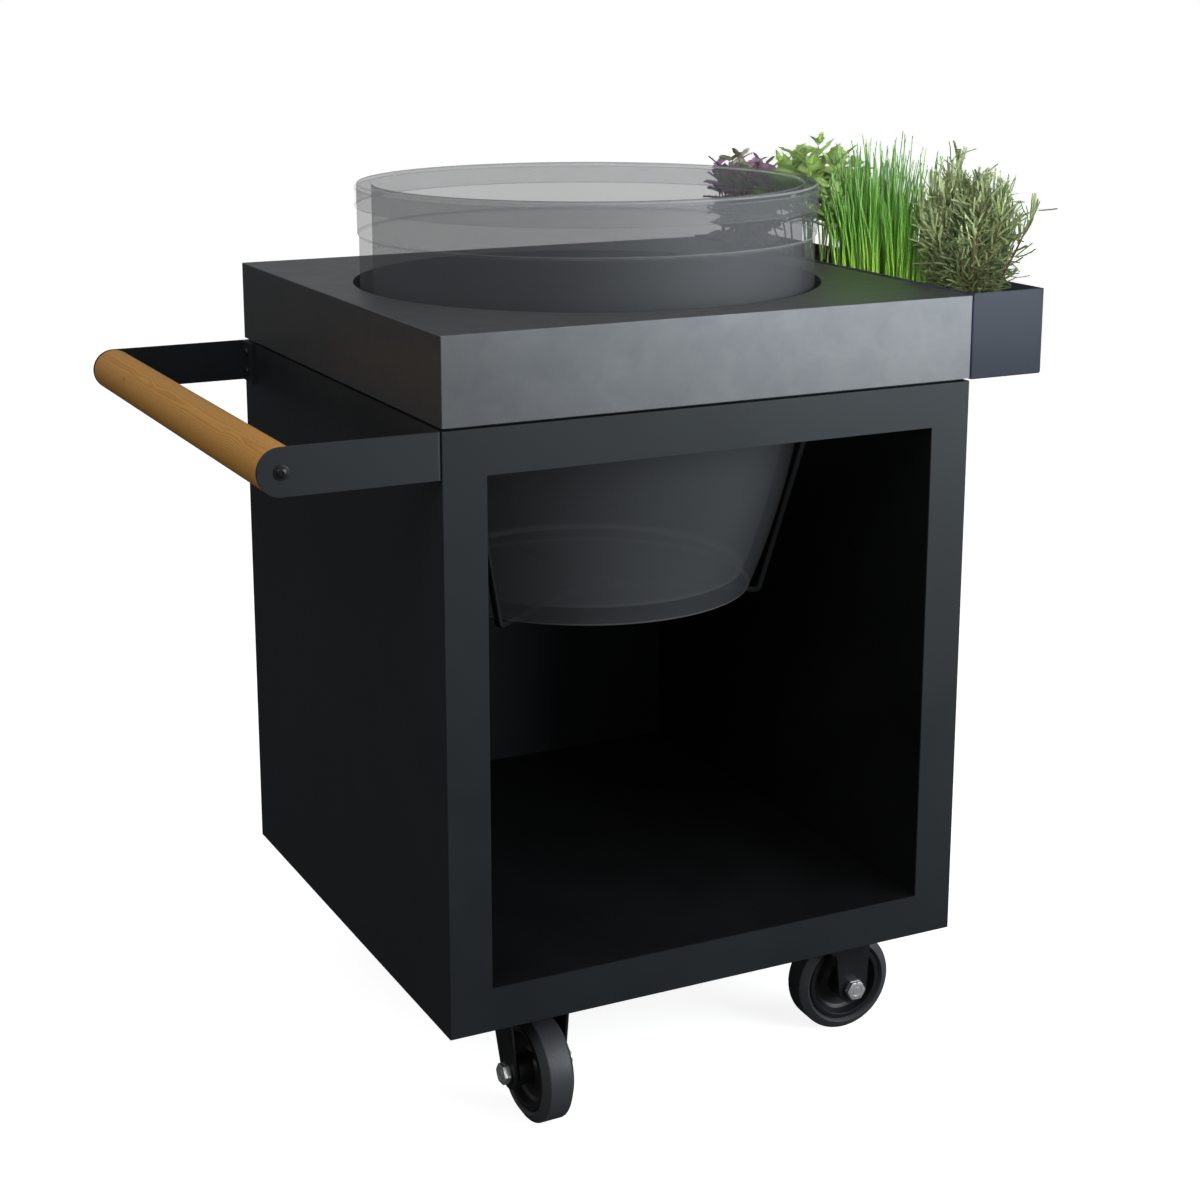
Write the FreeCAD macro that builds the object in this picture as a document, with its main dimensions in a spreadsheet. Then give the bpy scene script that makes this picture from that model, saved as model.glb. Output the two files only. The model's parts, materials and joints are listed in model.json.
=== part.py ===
import FreeCAD, Part
import math
import os
import re
import Sketcher

# Kamado grill table: a steel cabinet on four swivel casters, a thick worktop with a round cut-out,
# a cradle that carries the grill bowl, a wooden push handle and a lift-off herb planter.
# Millimetres and degrees. +Z up, front face towards -Y, handle at -X, planter at +X.
# The origin is on the ground, below the middle of the whole table.

# Driving dimensions
SIZES = {
    # cabinet
    "cabinet_width": 650,
    "cabinet_depth": 650,
    "cabinet_height": 670,
    "frame_border": 50,
    "sheet_wall": 2,
    "plate_wall": 3,
    "post_side": 40,
    "post_wall": 2.5,
    "edge_round": 0.8,
    # worktop and the shadow line below it
    "shadow_gap": 3,
    "spacer_inset": 10,
    "spacer_band": 30,
    "worktop_height": 95,
    "worktop_wall": 3,
    "worktop_flange": 40,
    "worktop_round": 1,
    "worktop_land": 47,
    # grill bowl
    "bowl_clearance": 3,
    "bowl_height": 490,
    "bowl_shoulder": 371,
    "bowl_curve": 1000,
    "bowl_wall": 17.5,
    "bowl_floor": 18,
    "bowl_step": 2,
    "bowl_step_drop": 59,
    "band_wall": 3,
    "band_height": 22,
    "band_drop": 2,
    "rim_round": 3,
    "rest_gap": 0.2,
    # cradle
    "seat_depth": 374,
    "cradle_bar": 6,
    "cradle_width": 8,
    "cradle_clearance": 6.5,
    "cradle_lean": 5,
    "cradle_foot": 32,
    "cradle_hub": 28,
    "cradle_angle": 55,
    "cradle_bolt": 3,
    "cradle_bolt_head": 5.7,
    "cradle_bolt_head_height": 3.9,
    "cradle_bolt_inset": 12,
    # push handle
    "arm_height": 50,
    "arm_wall": 4,
    "arm_reach": 194.5,
    "arm_flange": 40,
    "arm_bend": 4,
    "grip_radius": 25,
    "grip_gap": 0.3,
    "grip_round": 2,
    "screw_radius": 3,
    "screw_depth": 45,
    "screw_head": 5.5,
    "screw_head_height": 3.3,
    "screw_key": 2.25,
    "screw_key_depth": 2.2,
    "flange_bolt_inset": 20,
    "flange_bolt_spacing": 24,
    "flange_bolt_length": 16,
    # planter
    "planter_width": 98.5,
    "planter_height": 99,
    "planter_gap": 1.7,
    "planter_rise": 2,
    "planter_wall": 1.5,
    "planter_round": 2,
    "soil_drop": 12,
    "hook_spacing": 400,
    "hook_width": 40,
    "hook_wall": 3,
    "hook_depth": 42,
    "hook_drop": 15,
    "hook_lift": 16,
    "hook_spare": 1,
    "slot_margin": 0.3,
    # herbs
    "herb_margin": 5,
    "herb_gap": 1.75,
    "basil_height": 118,
    "mint_height": 160,
    "chives_height": 164,
    "rosemary_height": 186,
    # casters
    "caster_height": 152,
    "caster_inset_x": 125,
    "caster_inset_y": 100,
    "trail": 37,
    "front_left_angle": -88.2,
    "front_right_angle": -2.5,
    "rear_left_angle": 20,
    "rear_right_angle": -60,
    "mount_length": 100,
    "mount_width": 85,
    "mount_wall": 4,
    "mount_round": 5,
    "mount_bolt_x": 80,
    "mount_bolt_y": 60,
    "mount_bolt": 4,
    "mount_bolt_head": 7.4,
    "mount_bolt_head_height": 5.2,
    "mount_nut_height": 6.4,
    "mount_bolt_tail": 9,
    "race_radius": 33,
    "race_height": 6,
    "race_gap": 0.3,
    "kingpin_radius": 6,
    "kingpin_head": 9,
    "kingpin_head_height": 7,
    "bearing_clearance": 0.05,
    "crown_radius": 35,
    "crown_height": 5.7,
    "bridge_height": 5,
    "fork_gap": 55,
    "fork_wall": 4,
    "leg_half": 19.5,
    "wheel_shift": 5.5,
    "wheel_radius": 62.5,
    "wheel_width": 40,
    "tread_width": 27,
    "tyre_depth": 13.5,
    "tyre_bevel": 10.5,
    "tyre_round": 3,
    "core_inset": 1.5,
    "core_lip": 4,
    "core_slope": 9,
    "web_half": 6,
    "hub_radius": 18,
    "hub_draft": 2,
    "axle_radius": 6,
    "axle_flange": 13.5,
    "axle_flange_height": 2,
    "axle_hex": 12.7,
    "axle_hex_height": 7.5,
    "axle_nut_height": 13.5,
    "axle_tail": 1.5,
}

# Places that follow from the driving dimensions
PLACES = {
    "half_width": "cabinet_width / 2",
    "half_depth": "cabinet_depth / 2",
    "cabinet_low": "caster_height",
    "cabinet_top": "caster_height + cabinet_height",
    "floor_level": "caster_height + frame_border",
    "opening_half": "cabinet_width / 2 - frame_border",
    "opening_top": "cabinet_top - frame_border",
    "hole_radius": "min(half_width; half_depth) - worktop_land",
    "inner_x": "half_width - sheet_wall",
    "inner_y": "half_depth - sheet_wall",
    "worktop_low": "cabinet_top + shadow_gap",
    "worktop_top": "worktop_low + worktop_height",
    "window_x": "half_width - worktop_flange",
    "window_y": "half_depth - worktop_flange",
    "seat_level": "worktop_top - seat_depth",
    "bowl_low": "seat_level + rest_gap",
    "bowl_top": "bowl_low + bowl_height",
    "band_radius": "hole_radius - bowl_clearance",
    "rim_radius": "band_radius - band_wall",
    "bowl_radius": "rim_radius - bowl_step",
    "bowl_foot": "bowl_radius - bowl_curve + sqrt(bowl_curve ^ 2 - bowl_shoulder ^ 2)",
    "cradle_seat": "bowl_foot + cradle_clearance",
    "cradle_head": "hole_radius + cradle_lean",
    "cradle_bolt_reach": "cradle_head + cradle_foot - cradle_bolt_inset",
    "arm_low": "cabinet_top - arm_height",
    "arm_level": "cabinet_top - arm_height / 2",
    "arm_tip": "half_width + arm_reach",
    "arm_end": "arm_tip - arm_height / 2",
    "flange_bolt_y": "half_depth - flange_bolt_inset",
    "planter_face": "half_width + planter_gap",
    "planter_far": "planter_face + planter_width",
    "planter_top": "worktop_top + planter_rise",
    "planter_low": "planter_top - planter_height",
    "planter_mid": "planter_face + planter_width / 2",
    "soil_top": "planter_top - soil_drop",
    "herb_pitch": "(cabinet_depth - 2 * herb_margin) / 4",
    "herb_reach": "planter_width / 2 - planter_wall - herb_gap",
    "hook_level": "planter_top - hook_depth",
    "hook_back": "half_width - worktop_wall - slot_margin - hook_wall",
    "table_x": "(arm_tip - planter_far) / 2",
    "caster_x": "half_width - caster_inset_x",
    "caster_y": "half_depth - caster_inset_y",
    "race_low": "caster_height - mount_wall - race_height",
    "crown_top": "race_low - race_gap",
    "bridge_top": "crown_top - crown_height",
    "bridge_low": "bridge_top - bridge_height",
    "pin_head_top": "bridge_low - race_gap",
    "leg_out": "fork_gap / 2 + fork_wall",
    "core_radius": "wheel_radius - tyre_depth",
    "hub_bolt_side": "fork_gap / 2 + wheel_shift - race_gap",
    "hub_nut_side": "fork_gap / 2 - wheel_shift - race_gap",
    "bore_radius": "axle_radius + bearing_clearance",
}

doc = FreeCAD.newDocument("kamado_table")
size_sheet = doc.addObject("Spreadsheet::Sheet", "size")
place_sheet = doc.addObject("Spreadsheet::Sheet", "place")
pieces = []
block_corners = {}

# Lengths that count as equal when an edge is looked for
NEAR = 0.01
# Keeps the spare box's length above zero while it works out a negative value
PROBE_START = 1000


def on_sheet(text):
    """Write each size or place named in an expression as the cell that holds it."""
    def cell(word):
        name = word[0]
        if name in SIZES:
            return "size." + name
        if name in PLACES:
            return "place." + name
        return name
    return re.sub(r"[a-z]\w+", cell, text)


def fill_sheets():
    for row, (name, value) in enumerate(SIZES.items(), start=1):
        size_sheet.set("A%d" % row, name)
        size_sheet.set("B%d" % row, str(value))
        size_sheet.setAlias("B%d" % row, name)
    for row, (name, text) in enumerate(PLACES.items(), start=1):
        place_sheet.set("A%d" % row, name)
        place_sheet.setAlias("B%d" % row, name)
    doc.recompute()
    for row, text in enumerate(PLACES.values(), start=1):
        place_sheet.set("B%d" % row, "=" + on_sheet(text).replace("place.", ""))
    doc.recompute()


def mm(name):
    """The value of one size or place."""
    sheet = size_sheet if name in SIZES else place_sheet
    return float(sheet.get(name))


def bind(thing, where, text):
    thing.setExpression(where, on_sheet(text))


def block(name, x, y, z):
    """A box between the two expressions given for each axis."""
    thing = doc.addObject("Part::Box", name)
    for side, base, (low, high) in zip(("Length", "Width", "Height"), "xyz", (x, y, z)):
        bind(thing, side, "(%s) - (%s)" % (high, low))
        bind(thing, "Placement.Base." + base, low)
    block_corners[thing.Name] = (x[0], y[0])
    return thing


TURNS = {
    "x": FreeCAD.Rotation(FreeCAD.Vector(0, 1, 0), 90),
    "y": FreeCAD.Rotation(FreeCAD.Vector(1, 0, 0), -90),
    "z": FreeCAD.Rotation(),
}


def stand(thing, along, centre, low):
    """Turn a primitive's own axis along x, y or z and put its base there."""
    thing.Placement = FreeCAD.Placement(FreeCAD.Vector(), TURNS[along])
    others = [axis for axis in "xyz" if axis != along]
    for axis, text in zip(others, centre):
        bind(thing, "Placement.Base." + axis, text)
    bind(thing, "Placement.Base." + along, low)
    return thing


def rod(name, along, centre, radius, low, high):
    """A round bar along x, y or z; centre holds the other two coordinates in order."""
    thing = doc.addObject("Part::Cylinder", name)
    bind(thing, "Radius", radius)
    bind(thing, "Height", "(%s) - (%s)" % (high, low))
    return stand(thing, along, centre, low)


def hexagon(name, along, centre, radius, low, high):
    """A six-sided bar whose radius is measured to its corners."""
    thing = doc.addObject("Part::Prism", name)
    thing.Polygon = 6
    bind(thing, "Circumradius", radius)
    bind(thing, "Height", "(%s) - (%s)" % (high, low))
    return stand(thing, along, centre, low)


def fuse(name, things):
    thing = doc.addObject("Part::MultiFuse", name)
    thing.Shapes = things
    return thing


def together(name, things):
    thing = doc.addObject("Part::Compound", name)
    thing.Links = things
    return thing


def cut(name, base, tools):
    thing = doc.addObject("Part::Cut", name)
    thing.Base = base
    thing.Tool = tools[0] if len(tools) == 1 else together(name + "_tools", tools)
    return thing


def is_circle(edge):
    return not edge.Degenerated and isinstance(edge.Curve, Part.Circle)


def is_upright(edge):
    return edge.BoundBox.ZLength > NEAR


def rounded(name, base, radius, wanted):
    """Round the edges of a shape for which wanted(edge) holds."""
    doc.recompute()
    value = mm(radius)
    chosen = [(i, value, value) for i, edge in enumerate(base.Shape.Edges, start=1) if wanted(edge)]
    thing = doc.addObject("Part::Fillet", name)
    thing.Base = base
    thing.Edges = chosen
    return thing


def finish(thing, node, x="0", y="0", z=None, turn=None):
    """Name a finished piece and give it its place on the table."""
    corner_x, corner_y = block_corners.get(thing.Name, ("0", "0"))
    bind(thing, "Placement.Base.x", "table_x + (%s) + (%s)" % (corner_x, x))
    bind(thing, "Placement.Base.y", "(%s) + (%s)" % (corner_y, y))
    if z is not None:
        bind(thing, "Placement.Base.z", z)
    if turn is not None:
        bind(thing, "Placement.Rotation.Angle", turn)
    thing.Label = node
    pieces.append(thing)


def outline(body, plane, corners):
    """A closed sketch on one of the body's planes; each corner is a pair of expressions."""
    plane = [face for face in body.Origin.OriginFeatures if face.Role == plane][0]
    sketch = body.newObject("Sketcher::SketchObject", body.Name + "_outline")
    sketch.AttachmentSupport = [(plane, "")]
    sketch.MapMode = "FlatFace"
    values = []
    for corner in corners:
        point = []
        for text in corner:
            bind(place_probe, "Length", "%d + %s" % (PROBE_START, text))
            doc.recompute([place_probe])
            point.append(place_probe.Length.Value - PROBE_START)
        values.append(FreeCAD.Vector(point[0], point[1], 0))
    count = len(corners)
    for i in range(count):
        sketch.addGeometry(Part.LineSegment(values[i], values[(i + 1) % count]))
    for i in range(count):
        sketch.addConstraint(Sketcher.Constraint("Coincident", i, 2, (i + 1) % count, 1))
    for i, corner in enumerate(corners):
        for kind, text, value in zip(("DistanceX", "DistanceY"), corner, values[i]):
            number = sketch.addConstraint(Sketcher.Constraint(kind, -1, 1, i, 1, value))
            bind(sketch, "Constraints[%d]" % number, text)
    return sketch


def spun(name, plane, corners):
    """A body turned about its vertical sketch axis."""
    body = doc.addObject("PartDesign::Body", name)
    sketch = outline(body, plane, corners)
    turned = body.newObject("PartDesign::Revolution", name + "_turned")
    turned.Profile = sketch
    turned.ReferenceAxis = (sketch, ["V_Axis"])
    turned.Angle = 360
    return body


fill_sheets()
# A spare box that works out an expression's value for a sketch's first drawing
place_probe = doc.addObject("Part::Box", "place_probe")


# Cabinet
def build_cabinet():
    across = ("-half_width", "half_width")
    deep = ("-inner_y", "inner_y")
    tall = ("cabinet_low", "cabinet_top")

    sheet = block("front_sheet", across, ("-half_depth", "-inner_y"), tall)
    opening = block("front_opening", ("-opening_half", "opening_half"), ("-half_depth", "-inner_y"),
                    ("floor_level", "opening_top"))
    frame = cut("front_cut", sheet, [opening])
    front = -mm("half_depth")

    def outer_corner(edge):
        middle = edge.BoundBox.Center
        flat = abs(middle.y - front) < NEAR
        return flat and edge.Length > 2 * mm("opening_half") + NEAR
    finish(rounded("front_frame", frame, "edge_round", outer_corner), "front_frame")

    finish(block("back_panel", across, ("inner_y", "half_depth"), tall), "back_panel")
    finish(block("right_panel", ("inner_x", "half_width"), deep, tall), "right_panel")
    panel = block("left_sheet", ("-half_width", "-inner_x"), deep, tall)
    finish(cut("left_panel", panel, flange_bolt_bars("left_panel", "screw_radius")), "left_panel")

    for side, low, high in (("left", "-opening_half - sheet_wall", "-opening_half"),
                            ("right", "opening_half", "opening_half + sheet_wall")):
        liner = block(side + "_liner", (low, high), deep,
                      ("cabinet_low + plate_wall", "cabinet_top - plate_wall"))
        finish(liner, side + "_liner")
    finish(block("floor_panel", ("-opening_half", "opening_half"), deep,
                 ("floor_level - sheet_wall", "floor_level")), "floor_panel")

    base = block("base_sheet", ("-inner_x", "inner_x"), deep, ("cabinet_low", "cabinet_low + plate_wall"))
    holes = [rod("base_" + name, "z", spot, "mount_bolt", "cabinet_low", "cabinet_low + plate_wall")
             for name, spot in mount_bolt_spots()]
    finish(cut("base_plate", base, holes), "base_plate")

    top = block("top_sheet", ("-inner_x", "inner_x"), deep, ("cabinet_top - plate_wall", "cabinet_top"))
    hole = rod("top_hole", "z", ("0", "0"), "hole_radius", "cabinet_top - plate_wall", "cabinet_top")
    bolts = cradle_bolt_bars("top", "cabinet_top - plate_wall", "cabinet_top")
    finish(cut("top_plate", top, [hole] + bolts), "top_plate")

    for name, x_side, y_side in (("front_left", -1, -1), ("front_right", 1, -1),
                                 ("rear_left", -1, 1), ("rear_right", 1, 1)):
        build_post(name, x_side, y_side)


def between(side, inner, outer):
    """The low and high expressions of a stretch on the positive or negative side."""
    if side > 0:
        return (inner, outer)
    return ("-(%s)" % outer, "-(%s)" % inner)


def build_post(name, x_side, y_side):
    """A square tube in a corner of the double wall."""
    tall = ("cabinet_low + plate_wall", "cabinet_top - plate_wall")
    tube = block(name + "_tube", between(x_side, "inner_x - post_side", "inner_x"),
                 between(y_side, "inner_y - post_side", "inner_y"), tall)
    hollow = block(name + "_hollow",
                   between(x_side, "inner_x - post_side + post_wall", "inner_x - post_wall"),
                   between(y_side, "inner_y - post_side + post_wall", "inner_y - post_wall"), tall)
    tools = [hollow]
    if x_side < 0:
        tools += flange_bolt_bars(name + "_post", "screw_radius", (y_side,))
    finish(cut(name + "_post", tube, tools), name + "_post")


# Worktop
def build_worktop():
    def square(name, x, y, low, high):
        return block(name, ("-(%s)" % x, x), ("-(%s)" % y, y), (low, high))

    spacer = square("spacer_outer", "half_width - spacer_inset", "half_depth - spacer_inset",
                    "cabinet_top", "worktop_low")
    inner = square("spacer_inner", "half_width - spacer_inset - spacer_band",
                   "half_depth - spacer_inset - spacer_band", "cabinet_top", "worktop_low")
    finish(cut("spacer_frame", spacer, [inner]), "spacer_frame")

    cover = square("cover", "half_width", "half_depth", "worktop_low", "worktop_top")

    def outer_edge(edge):
        middle = edge.BoundBox.Center
        return edge.BoundBox.ZLength > NEAR or middle.z > mm("worktop_top") - NEAR
    cover = rounded("cover_soft", cover, "worktop_round", outer_edge)
    cavity = square("cavity", "half_width - worktop_wall", "half_depth - worktop_wall",
                    "worktop_low + worktop_wall", "worktop_top - worktop_wall")
    window = square("window", "window_x", "window_y", "worktop_low", "worktop_low + worktop_wall")
    shell = cut("worktop_shell", cover, [cavity, window])
    collar = rod("collar", "z", ("0", "0"), "hole_radius + worktop_wall", "worktop_low",
                 "worktop_top - worktop_wall")
    hole = rod("worktop_hole", "z", ("0", "0"), "hole_radius", "worktop_low", "worktop_top")
    slots = []
    for name, y in hook_spots():
        slots.append(block("slot_" + name, ("half_width - worktop_wall", "half_width"),
                           (y + " - hook_width / 2 - slot_margin", y + " + hook_width / 2 + slot_margin"),
                           ("hook_level - rest_gap", "hook_level + hook_wall + hook_lift + hook_spare")))
    whole = cut("worktop_cut", fuse("worktop_body", [shell, collar]), [hole] + slots)

    def hole_edge(edge):
        return is_circle(edge) and abs(edge.BoundBox.Center.z - mm("worktop_top")) < NEAR
    finish(rounded("worktop", whole, "worktop_round", hole_edge), "worktop")


def hook_spots():
    return (("front", "-hook_spacing / 2"), ("rear", "hook_spacing / 2"))


# Cradle
CRADLE_LEGS = (
    ("left", "-90 - cradle_angle"),
    ("right", "-90 + cradle_angle"),
    ("rear", "90"),
)


def cradle_bolt_bars(name, low, high):
    """Straight bars on the axes of the three cradle bolts."""
    return [rod("%s_%s_bolt" % (name, leg), "z",
                ("cradle_bolt_reach * cos(%s)" % angle, "cradle_bolt_reach * sin(%s)" % angle),
                "cradle_bolt", low, high) for leg, angle in CRADLE_LEGS]


def build_cradle():
    """Three bent bars from a hub plate: flat under the bowl, up along it and out under the top plate."""
    foot = "cabinet_top - plate_wall"
    corners = [
        ("0", "seat_level - cradle_bar"),
        ("cradle_seat + cradle_bar", "seat_level - cradle_bar"),
        ("cradle_head + cradle_bar", foot + " - cradle_bar"),
        ("cradle_head + cradle_foot", foot + " - cradle_bar"),
        ("cradle_head + cradle_foot", foot),
        ("cradle_head", foot),
        ("cradle_seat", "seat_level"),
        ("0", "seat_level"),
    ]
    bars = []
    for leg, angle in CRADLE_LEGS:
        body = doc.addObject("PartDesign::Body", "cradle_" + leg)
        sketch = outline(body, "XZ_Plane", corners)
        bar = body.newObject("PartDesign::Pad", "cradle_bar_" + leg)
        bar.Profile = sketch
        bar.Midplane = True
        bind(bar, "Length", "cradle_width")
        widen = body.newObject("PartDesign::Fillet", "cradle_soft_" + leg)
        doc.recompute()
        bends = []
        for number, edge in enumerate(bar.Shape.Edges, start=1):
            middle = edge.BoundBox.Center
            across = edge.BoundBox.YLength > mm("cradle_width") - NEAR
            if across and abs(middle.x - mm("cradle_seat") - mm("cradle_bar")) < NEAR:
                bends.append("Edge%d" % number)
        widen.Base = (bar, bends)
        bind(widen, "Radius", "cradle_bar / 2")
        body.Tip = widen
        bind(body, "Placement.Rotation.Angle", angle)
        bars.append(body)
    hub = rod("cradle_hub_plate", "z", ("0", "0"), "cradle_hub", "seat_level - cradle_bar", "seat_level")
    star = fuse("cradle_star", bars + [hub])
    finish(cut("cradle", star, cradle_bolt_bars("cradle", foot + " - cradle_bar", foot)), "cradle")

    head_top = foot + " - cradle_bar"
    bolts = []
    for (leg, angle), shank in zip(CRADLE_LEGS, cradle_bolt_bars("cradle_shank", head_top, "cabinet_top")):
        spot = ("cradle_bolt_reach * cos(%s)" % angle, "cradle_bolt_reach * sin(%s)" % angle)
        head = hexagon("cradle_head_" + leg, "z", spot, "cradle_bolt_head",
                       head_top + " - cradle_bolt_head_height", head_top)
        bolts.append(fuse("cradle_bolt_" + leg, [shank, head]))
    finish(together("cradle_bolts", bolts), "cradle_bolts")


# Grill bowl
def curved_wall(top_radius, low, high):
    """An arc that leaves the upright at the shoulder and draws in towards the foot."""
    curve = mm("bowl_curve")

    def point(level):
        drop = high - level
        return FreeCAD.Vector(top_radius - curve + math.sqrt(curve ** 2 - drop ** 2), 0, level)
    return Part.Arc(point(low), point((low + high) / 2), point(high)).toShape()


def ring_of(edges):
    """A solid of revolution about Z from a closed run of edges in the XZ plane."""
    face = Part.Face(Part.Wire(Part.sortEdges(edges)[0]))
    return face.revolve(FreeCAD.Vector(), FreeCAD.Vector(0, 0, 1), 360)


def run_of(points):
    """Straight edges through points given as radius and level."""
    vectors = [FreeCAD.Vector(radius, 0, level) for radius, level in points]
    return [Part.makeLine(one, other) for one, other in zip(vectors, vectors[1:])]


def build_bowl():
    low = mm("bowl_low")
    top = mm("bowl_top")
    shoulder = low + mm("bowl_shoulder")
    floor = low + mm("bowl_floor")
    inner = mm("rim_radius") - mm("bowl_wall")
    step = mm("bowl_step")
    step_level = top - mm("bowl_step_drop")
    soft = mm("rim_round")
    rim = mm("rim_radius")
    outer_wall = curved_wall(mm("bowl_radius"), low, shoulder)
    inner_wall = curved_wall(inner, floor, shoulder)
    outer_foot = outer_wall.Vertexes[0].Point
    inner_foot = inner_wall.Vertexes[0].Point
    bend = math.sqrt(0.5) * soft

    def lip(centre_radius, side):
        """A quarter round at the rim's top edge."""
        centre = FreeCAD.Vector(centre_radius, 0, top - soft)
        first = centre + FreeCAD.Vector(side * soft, 0, 0)
        middle = centre + FreeCAD.Vector(side * bend, 0, bend)
        return Part.Arc(first, middle, centre + FreeCAD.Vector(0, 0, soft)).toShape()
    edges = run_of([(0, low), (outer_foot.x, low)])
    edges.append(outer_wall)
    edges += run_of([(mm("bowl_radius"), shoulder), (mm("bowl_radius"), step_level - step),
                     (rim, step_level), (rim, top - soft)])
    edges.append(lip(rim - soft, 1))
    edges += run_of([(rim - soft, top), (inner + soft, top)])
    edges.append(lip(inner + soft, -1))
    edges += run_of([(inner, top - soft), (inner, shoulder)])
    edges.append(inner_wall)
    edges += run_of([(inner_foot.x, floor), (0, floor), (0, low)])
    bowl = doc.addObject("Part::Feature", "grill_bowl")
    bowl.Shape = ring_of(edges)
    finish(bowl, "grill_bowl")

    band_low = "bowl_top - rim_round - band_drop - band_height"
    band_high = "bowl_top - rim_round - band_drop"
    around = rod("band_outer", "z", ("0", "0"), "band_radius", band_low, band_high)
    within = rod("band_inner", "z", ("0", "0"), "rim_radius", band_low, band_high)
    band = cut("band_ring", around, [within])

    def outside(edge):
        return is_circle(edge) and abs(edge.Curve.Radius - mm("band_radius")) < NEAR
    finish(rounded("bowl_band", band, "edge_round", outside), "bowl_band")


# Push handle
def flange_bolt_bars(name, radius, sides=(-1, 1), low="-half_width - arm_wall",
                     high="-half_width - arm_wall + flange_bolt_length"):
    """Straight bars along X on the axes of the handle's flange bolts."""
    bars = []
    for side in sides:
        for level in (-1, 1):
            spot = ("%d * flange_bolt_y" % side, "arm_level + %d * flange_bolt_spacing / 2" % level)
            word = "%s_bolt_%s_%s" % (name, "rear" if side > 0 else "front", "high" if level > 0 else "low")
            bars.append(rod(word, "x", spot, radius, low, high))
    return bars


def build_handle():
    for name, side in (("front", -1), ("rear", 1)):
        wall = between(side, "half_depth - arm_wall", "half_depth")
        flat = block("arm_flat_" + name, ("-arm_end", "-half_width"), wall, ("arm_low", "cabinet_top"))
        end = rod("arm_end_" + name, "y", ("-arm_end", "arm_level"), "arm_height / 2", *wall)
        flange = block("arm_flange_" + name, ("-half_width - arm_wall", "-half_width"),
                       between(side, "half_depth - arm_flange", "half_depth"), ("arm_low", "cabinet_top"))
        arm = fuse("arm_body_" + name, [flat, end, flange])
        arm.Refine = True
        corner = FreeCAD.Vector(-mm("half_width"), side * mm("half_depth"), 0)

        def bend(edge):
            middle = edge.BoundBox.Center
            upright = edge.BoundBox.ZLength > mm("arm_height") - NEAR
            return upright and math.hypot(middle.x - corner.x, middle.y - corner.y) < NEAR
        arm = rounded("arm_bend_" + name, arm, "arm_bend", bend)
        holes = [rod("grip_hole_" + name, "y", ("-arm_end", "arm_level"), "screw_radius", *wall)]
        holes += flange_bolt_bars("arm_" + name, "screw_radius", (side,))
        finish(cut("handle_arm_" + name, arm, holes), "handle_arm_" + name)

    half = "(half_depth - arm_wall - grip_gap)"
    stick = rod("grip_stick", "y", ("-arm_end", "arm_level"), "grip_radius", "-" + half, half)
    stick = rounded("grip_soft", stick, "grip_round", is_circle)
    bores = []
    screws = []
    for name, side in (("front", -1), ("rear", 1)):
        depth = between(side, "half_depth - arm_wall - screw_depth", "half_depth")
        bores.append(rod("grip_bore_" + name, "y", ("-arm_end", "arm_level"), "screw_radius", *depth))
        shank = rod("grip_shank_" + name, "y", ("-arm_end", "arm_level"), "screw_radius", *depth)
        cap = between(side, "half_depth", "half_depth + screw_head_height")
        head = rod("grip_head_" + name, "y", ("-arm_end", "arm_level"), "screw_head", *cap)
        outer = side * (mm("half_depth") + mm("screw_head_height"))

        def crown(edge):
            return is_circle(edge) and abs(edge.BoundBox.Center.y - outer) < NEAR
        head = rounded("grip_crown_" + name, head, "grip_round", crown)
        key = hexagon("grip_key_" + name, "y", ("-arm_end", "arm_level"), "screw_key",
                      *between(side, "half_depth + screw_head_height - screw_key_depth",
                               "half_depth + screw_head_height"))
        screws.append(cut("grip_screw_" + name, fuse("grip_blank_" + name, [shank, head]), [key]))
    finish(cut("handle_grip", stick, bores), "handle_grip")
    finish(together("grip_screws", screws), "grip_screws")

    shanks = flange_bolt_bars("flange", "screw_radius")
    heads = flange_bolt_bars("flange_head", "screw_head", low="-half_width - arm_wall - screw_head_height",
                             high="-half_width - arm_wall")
    bolts = []
    for shank, head in zip(shanks, heads):
        outer = -mm("half_width") - mm("arm_wall") - mm("screw_head_height")

        def crown(edge):
            return is_circle(edge) and abs(edge.BoundBox.Center.x - outer) < NEAR
        head = rounded(head.Name + "_soft", head, "grip_round", crown)
        bolts.append(fuse(shank.Name + "_whole", [shank, head]))
    finish(together("handle_bolts", bolts), "handle_bolts")


# Planter
def build_planter():
    lengthways = ("-half_depth", "half_depth")
    outer = block("planter_outer", ("planter_face", "planter_far"), lengthways,
                  ("planter_low", "planter_top"))
    outer = rounded("planter_soft", outer, "planter_round", is_upright)
    inner = block("planter_inner", ("planter_face + planter_wall", "planter_far - planter_wall"),
                  ("-half_depth + planter_wall", "half_depth - planter_wall"),
                  ("planter_low + planter_wall", "planter_top"))
    inner = rounded("planter_inner_soft", inner, "edge_round", is_upright)
    finish(cut("planter_box", outer, [inner]), "planter_box")

    soil = block("soil_block", ("planter_face + planter_wall", "planter_far - planter_wall"),
                 ("-half_depth + planter_wall", "half_depth - planter_wall"),
                 ("planter_low + planter_wall", "soil_top"))
    finish(rounded("planter_soil", soil, "edge_round", is_upright), "planter_soil")

    hooks = []
    for name, y in hook_spots():
        wide = (y + " - hook_width / 2", y + " + hook_width / 2")
        tongue = block("hook_tongue_" + name, ("hook_back", "planter_face"), wide,
                       ("hook_level", "hook_level + hook_wall"))
        drop = block("hook_drop_" + name, ("hook_back", "hook_back + hook_wall"), wide,
                     ("hook_level - hook_drop", "hook_level + hook_wall"))
        hooks.append(fuse("hook_" + name, [tongue, drop]))
    finish(together("planter_hooks", hooks), "planter_hooks")


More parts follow.
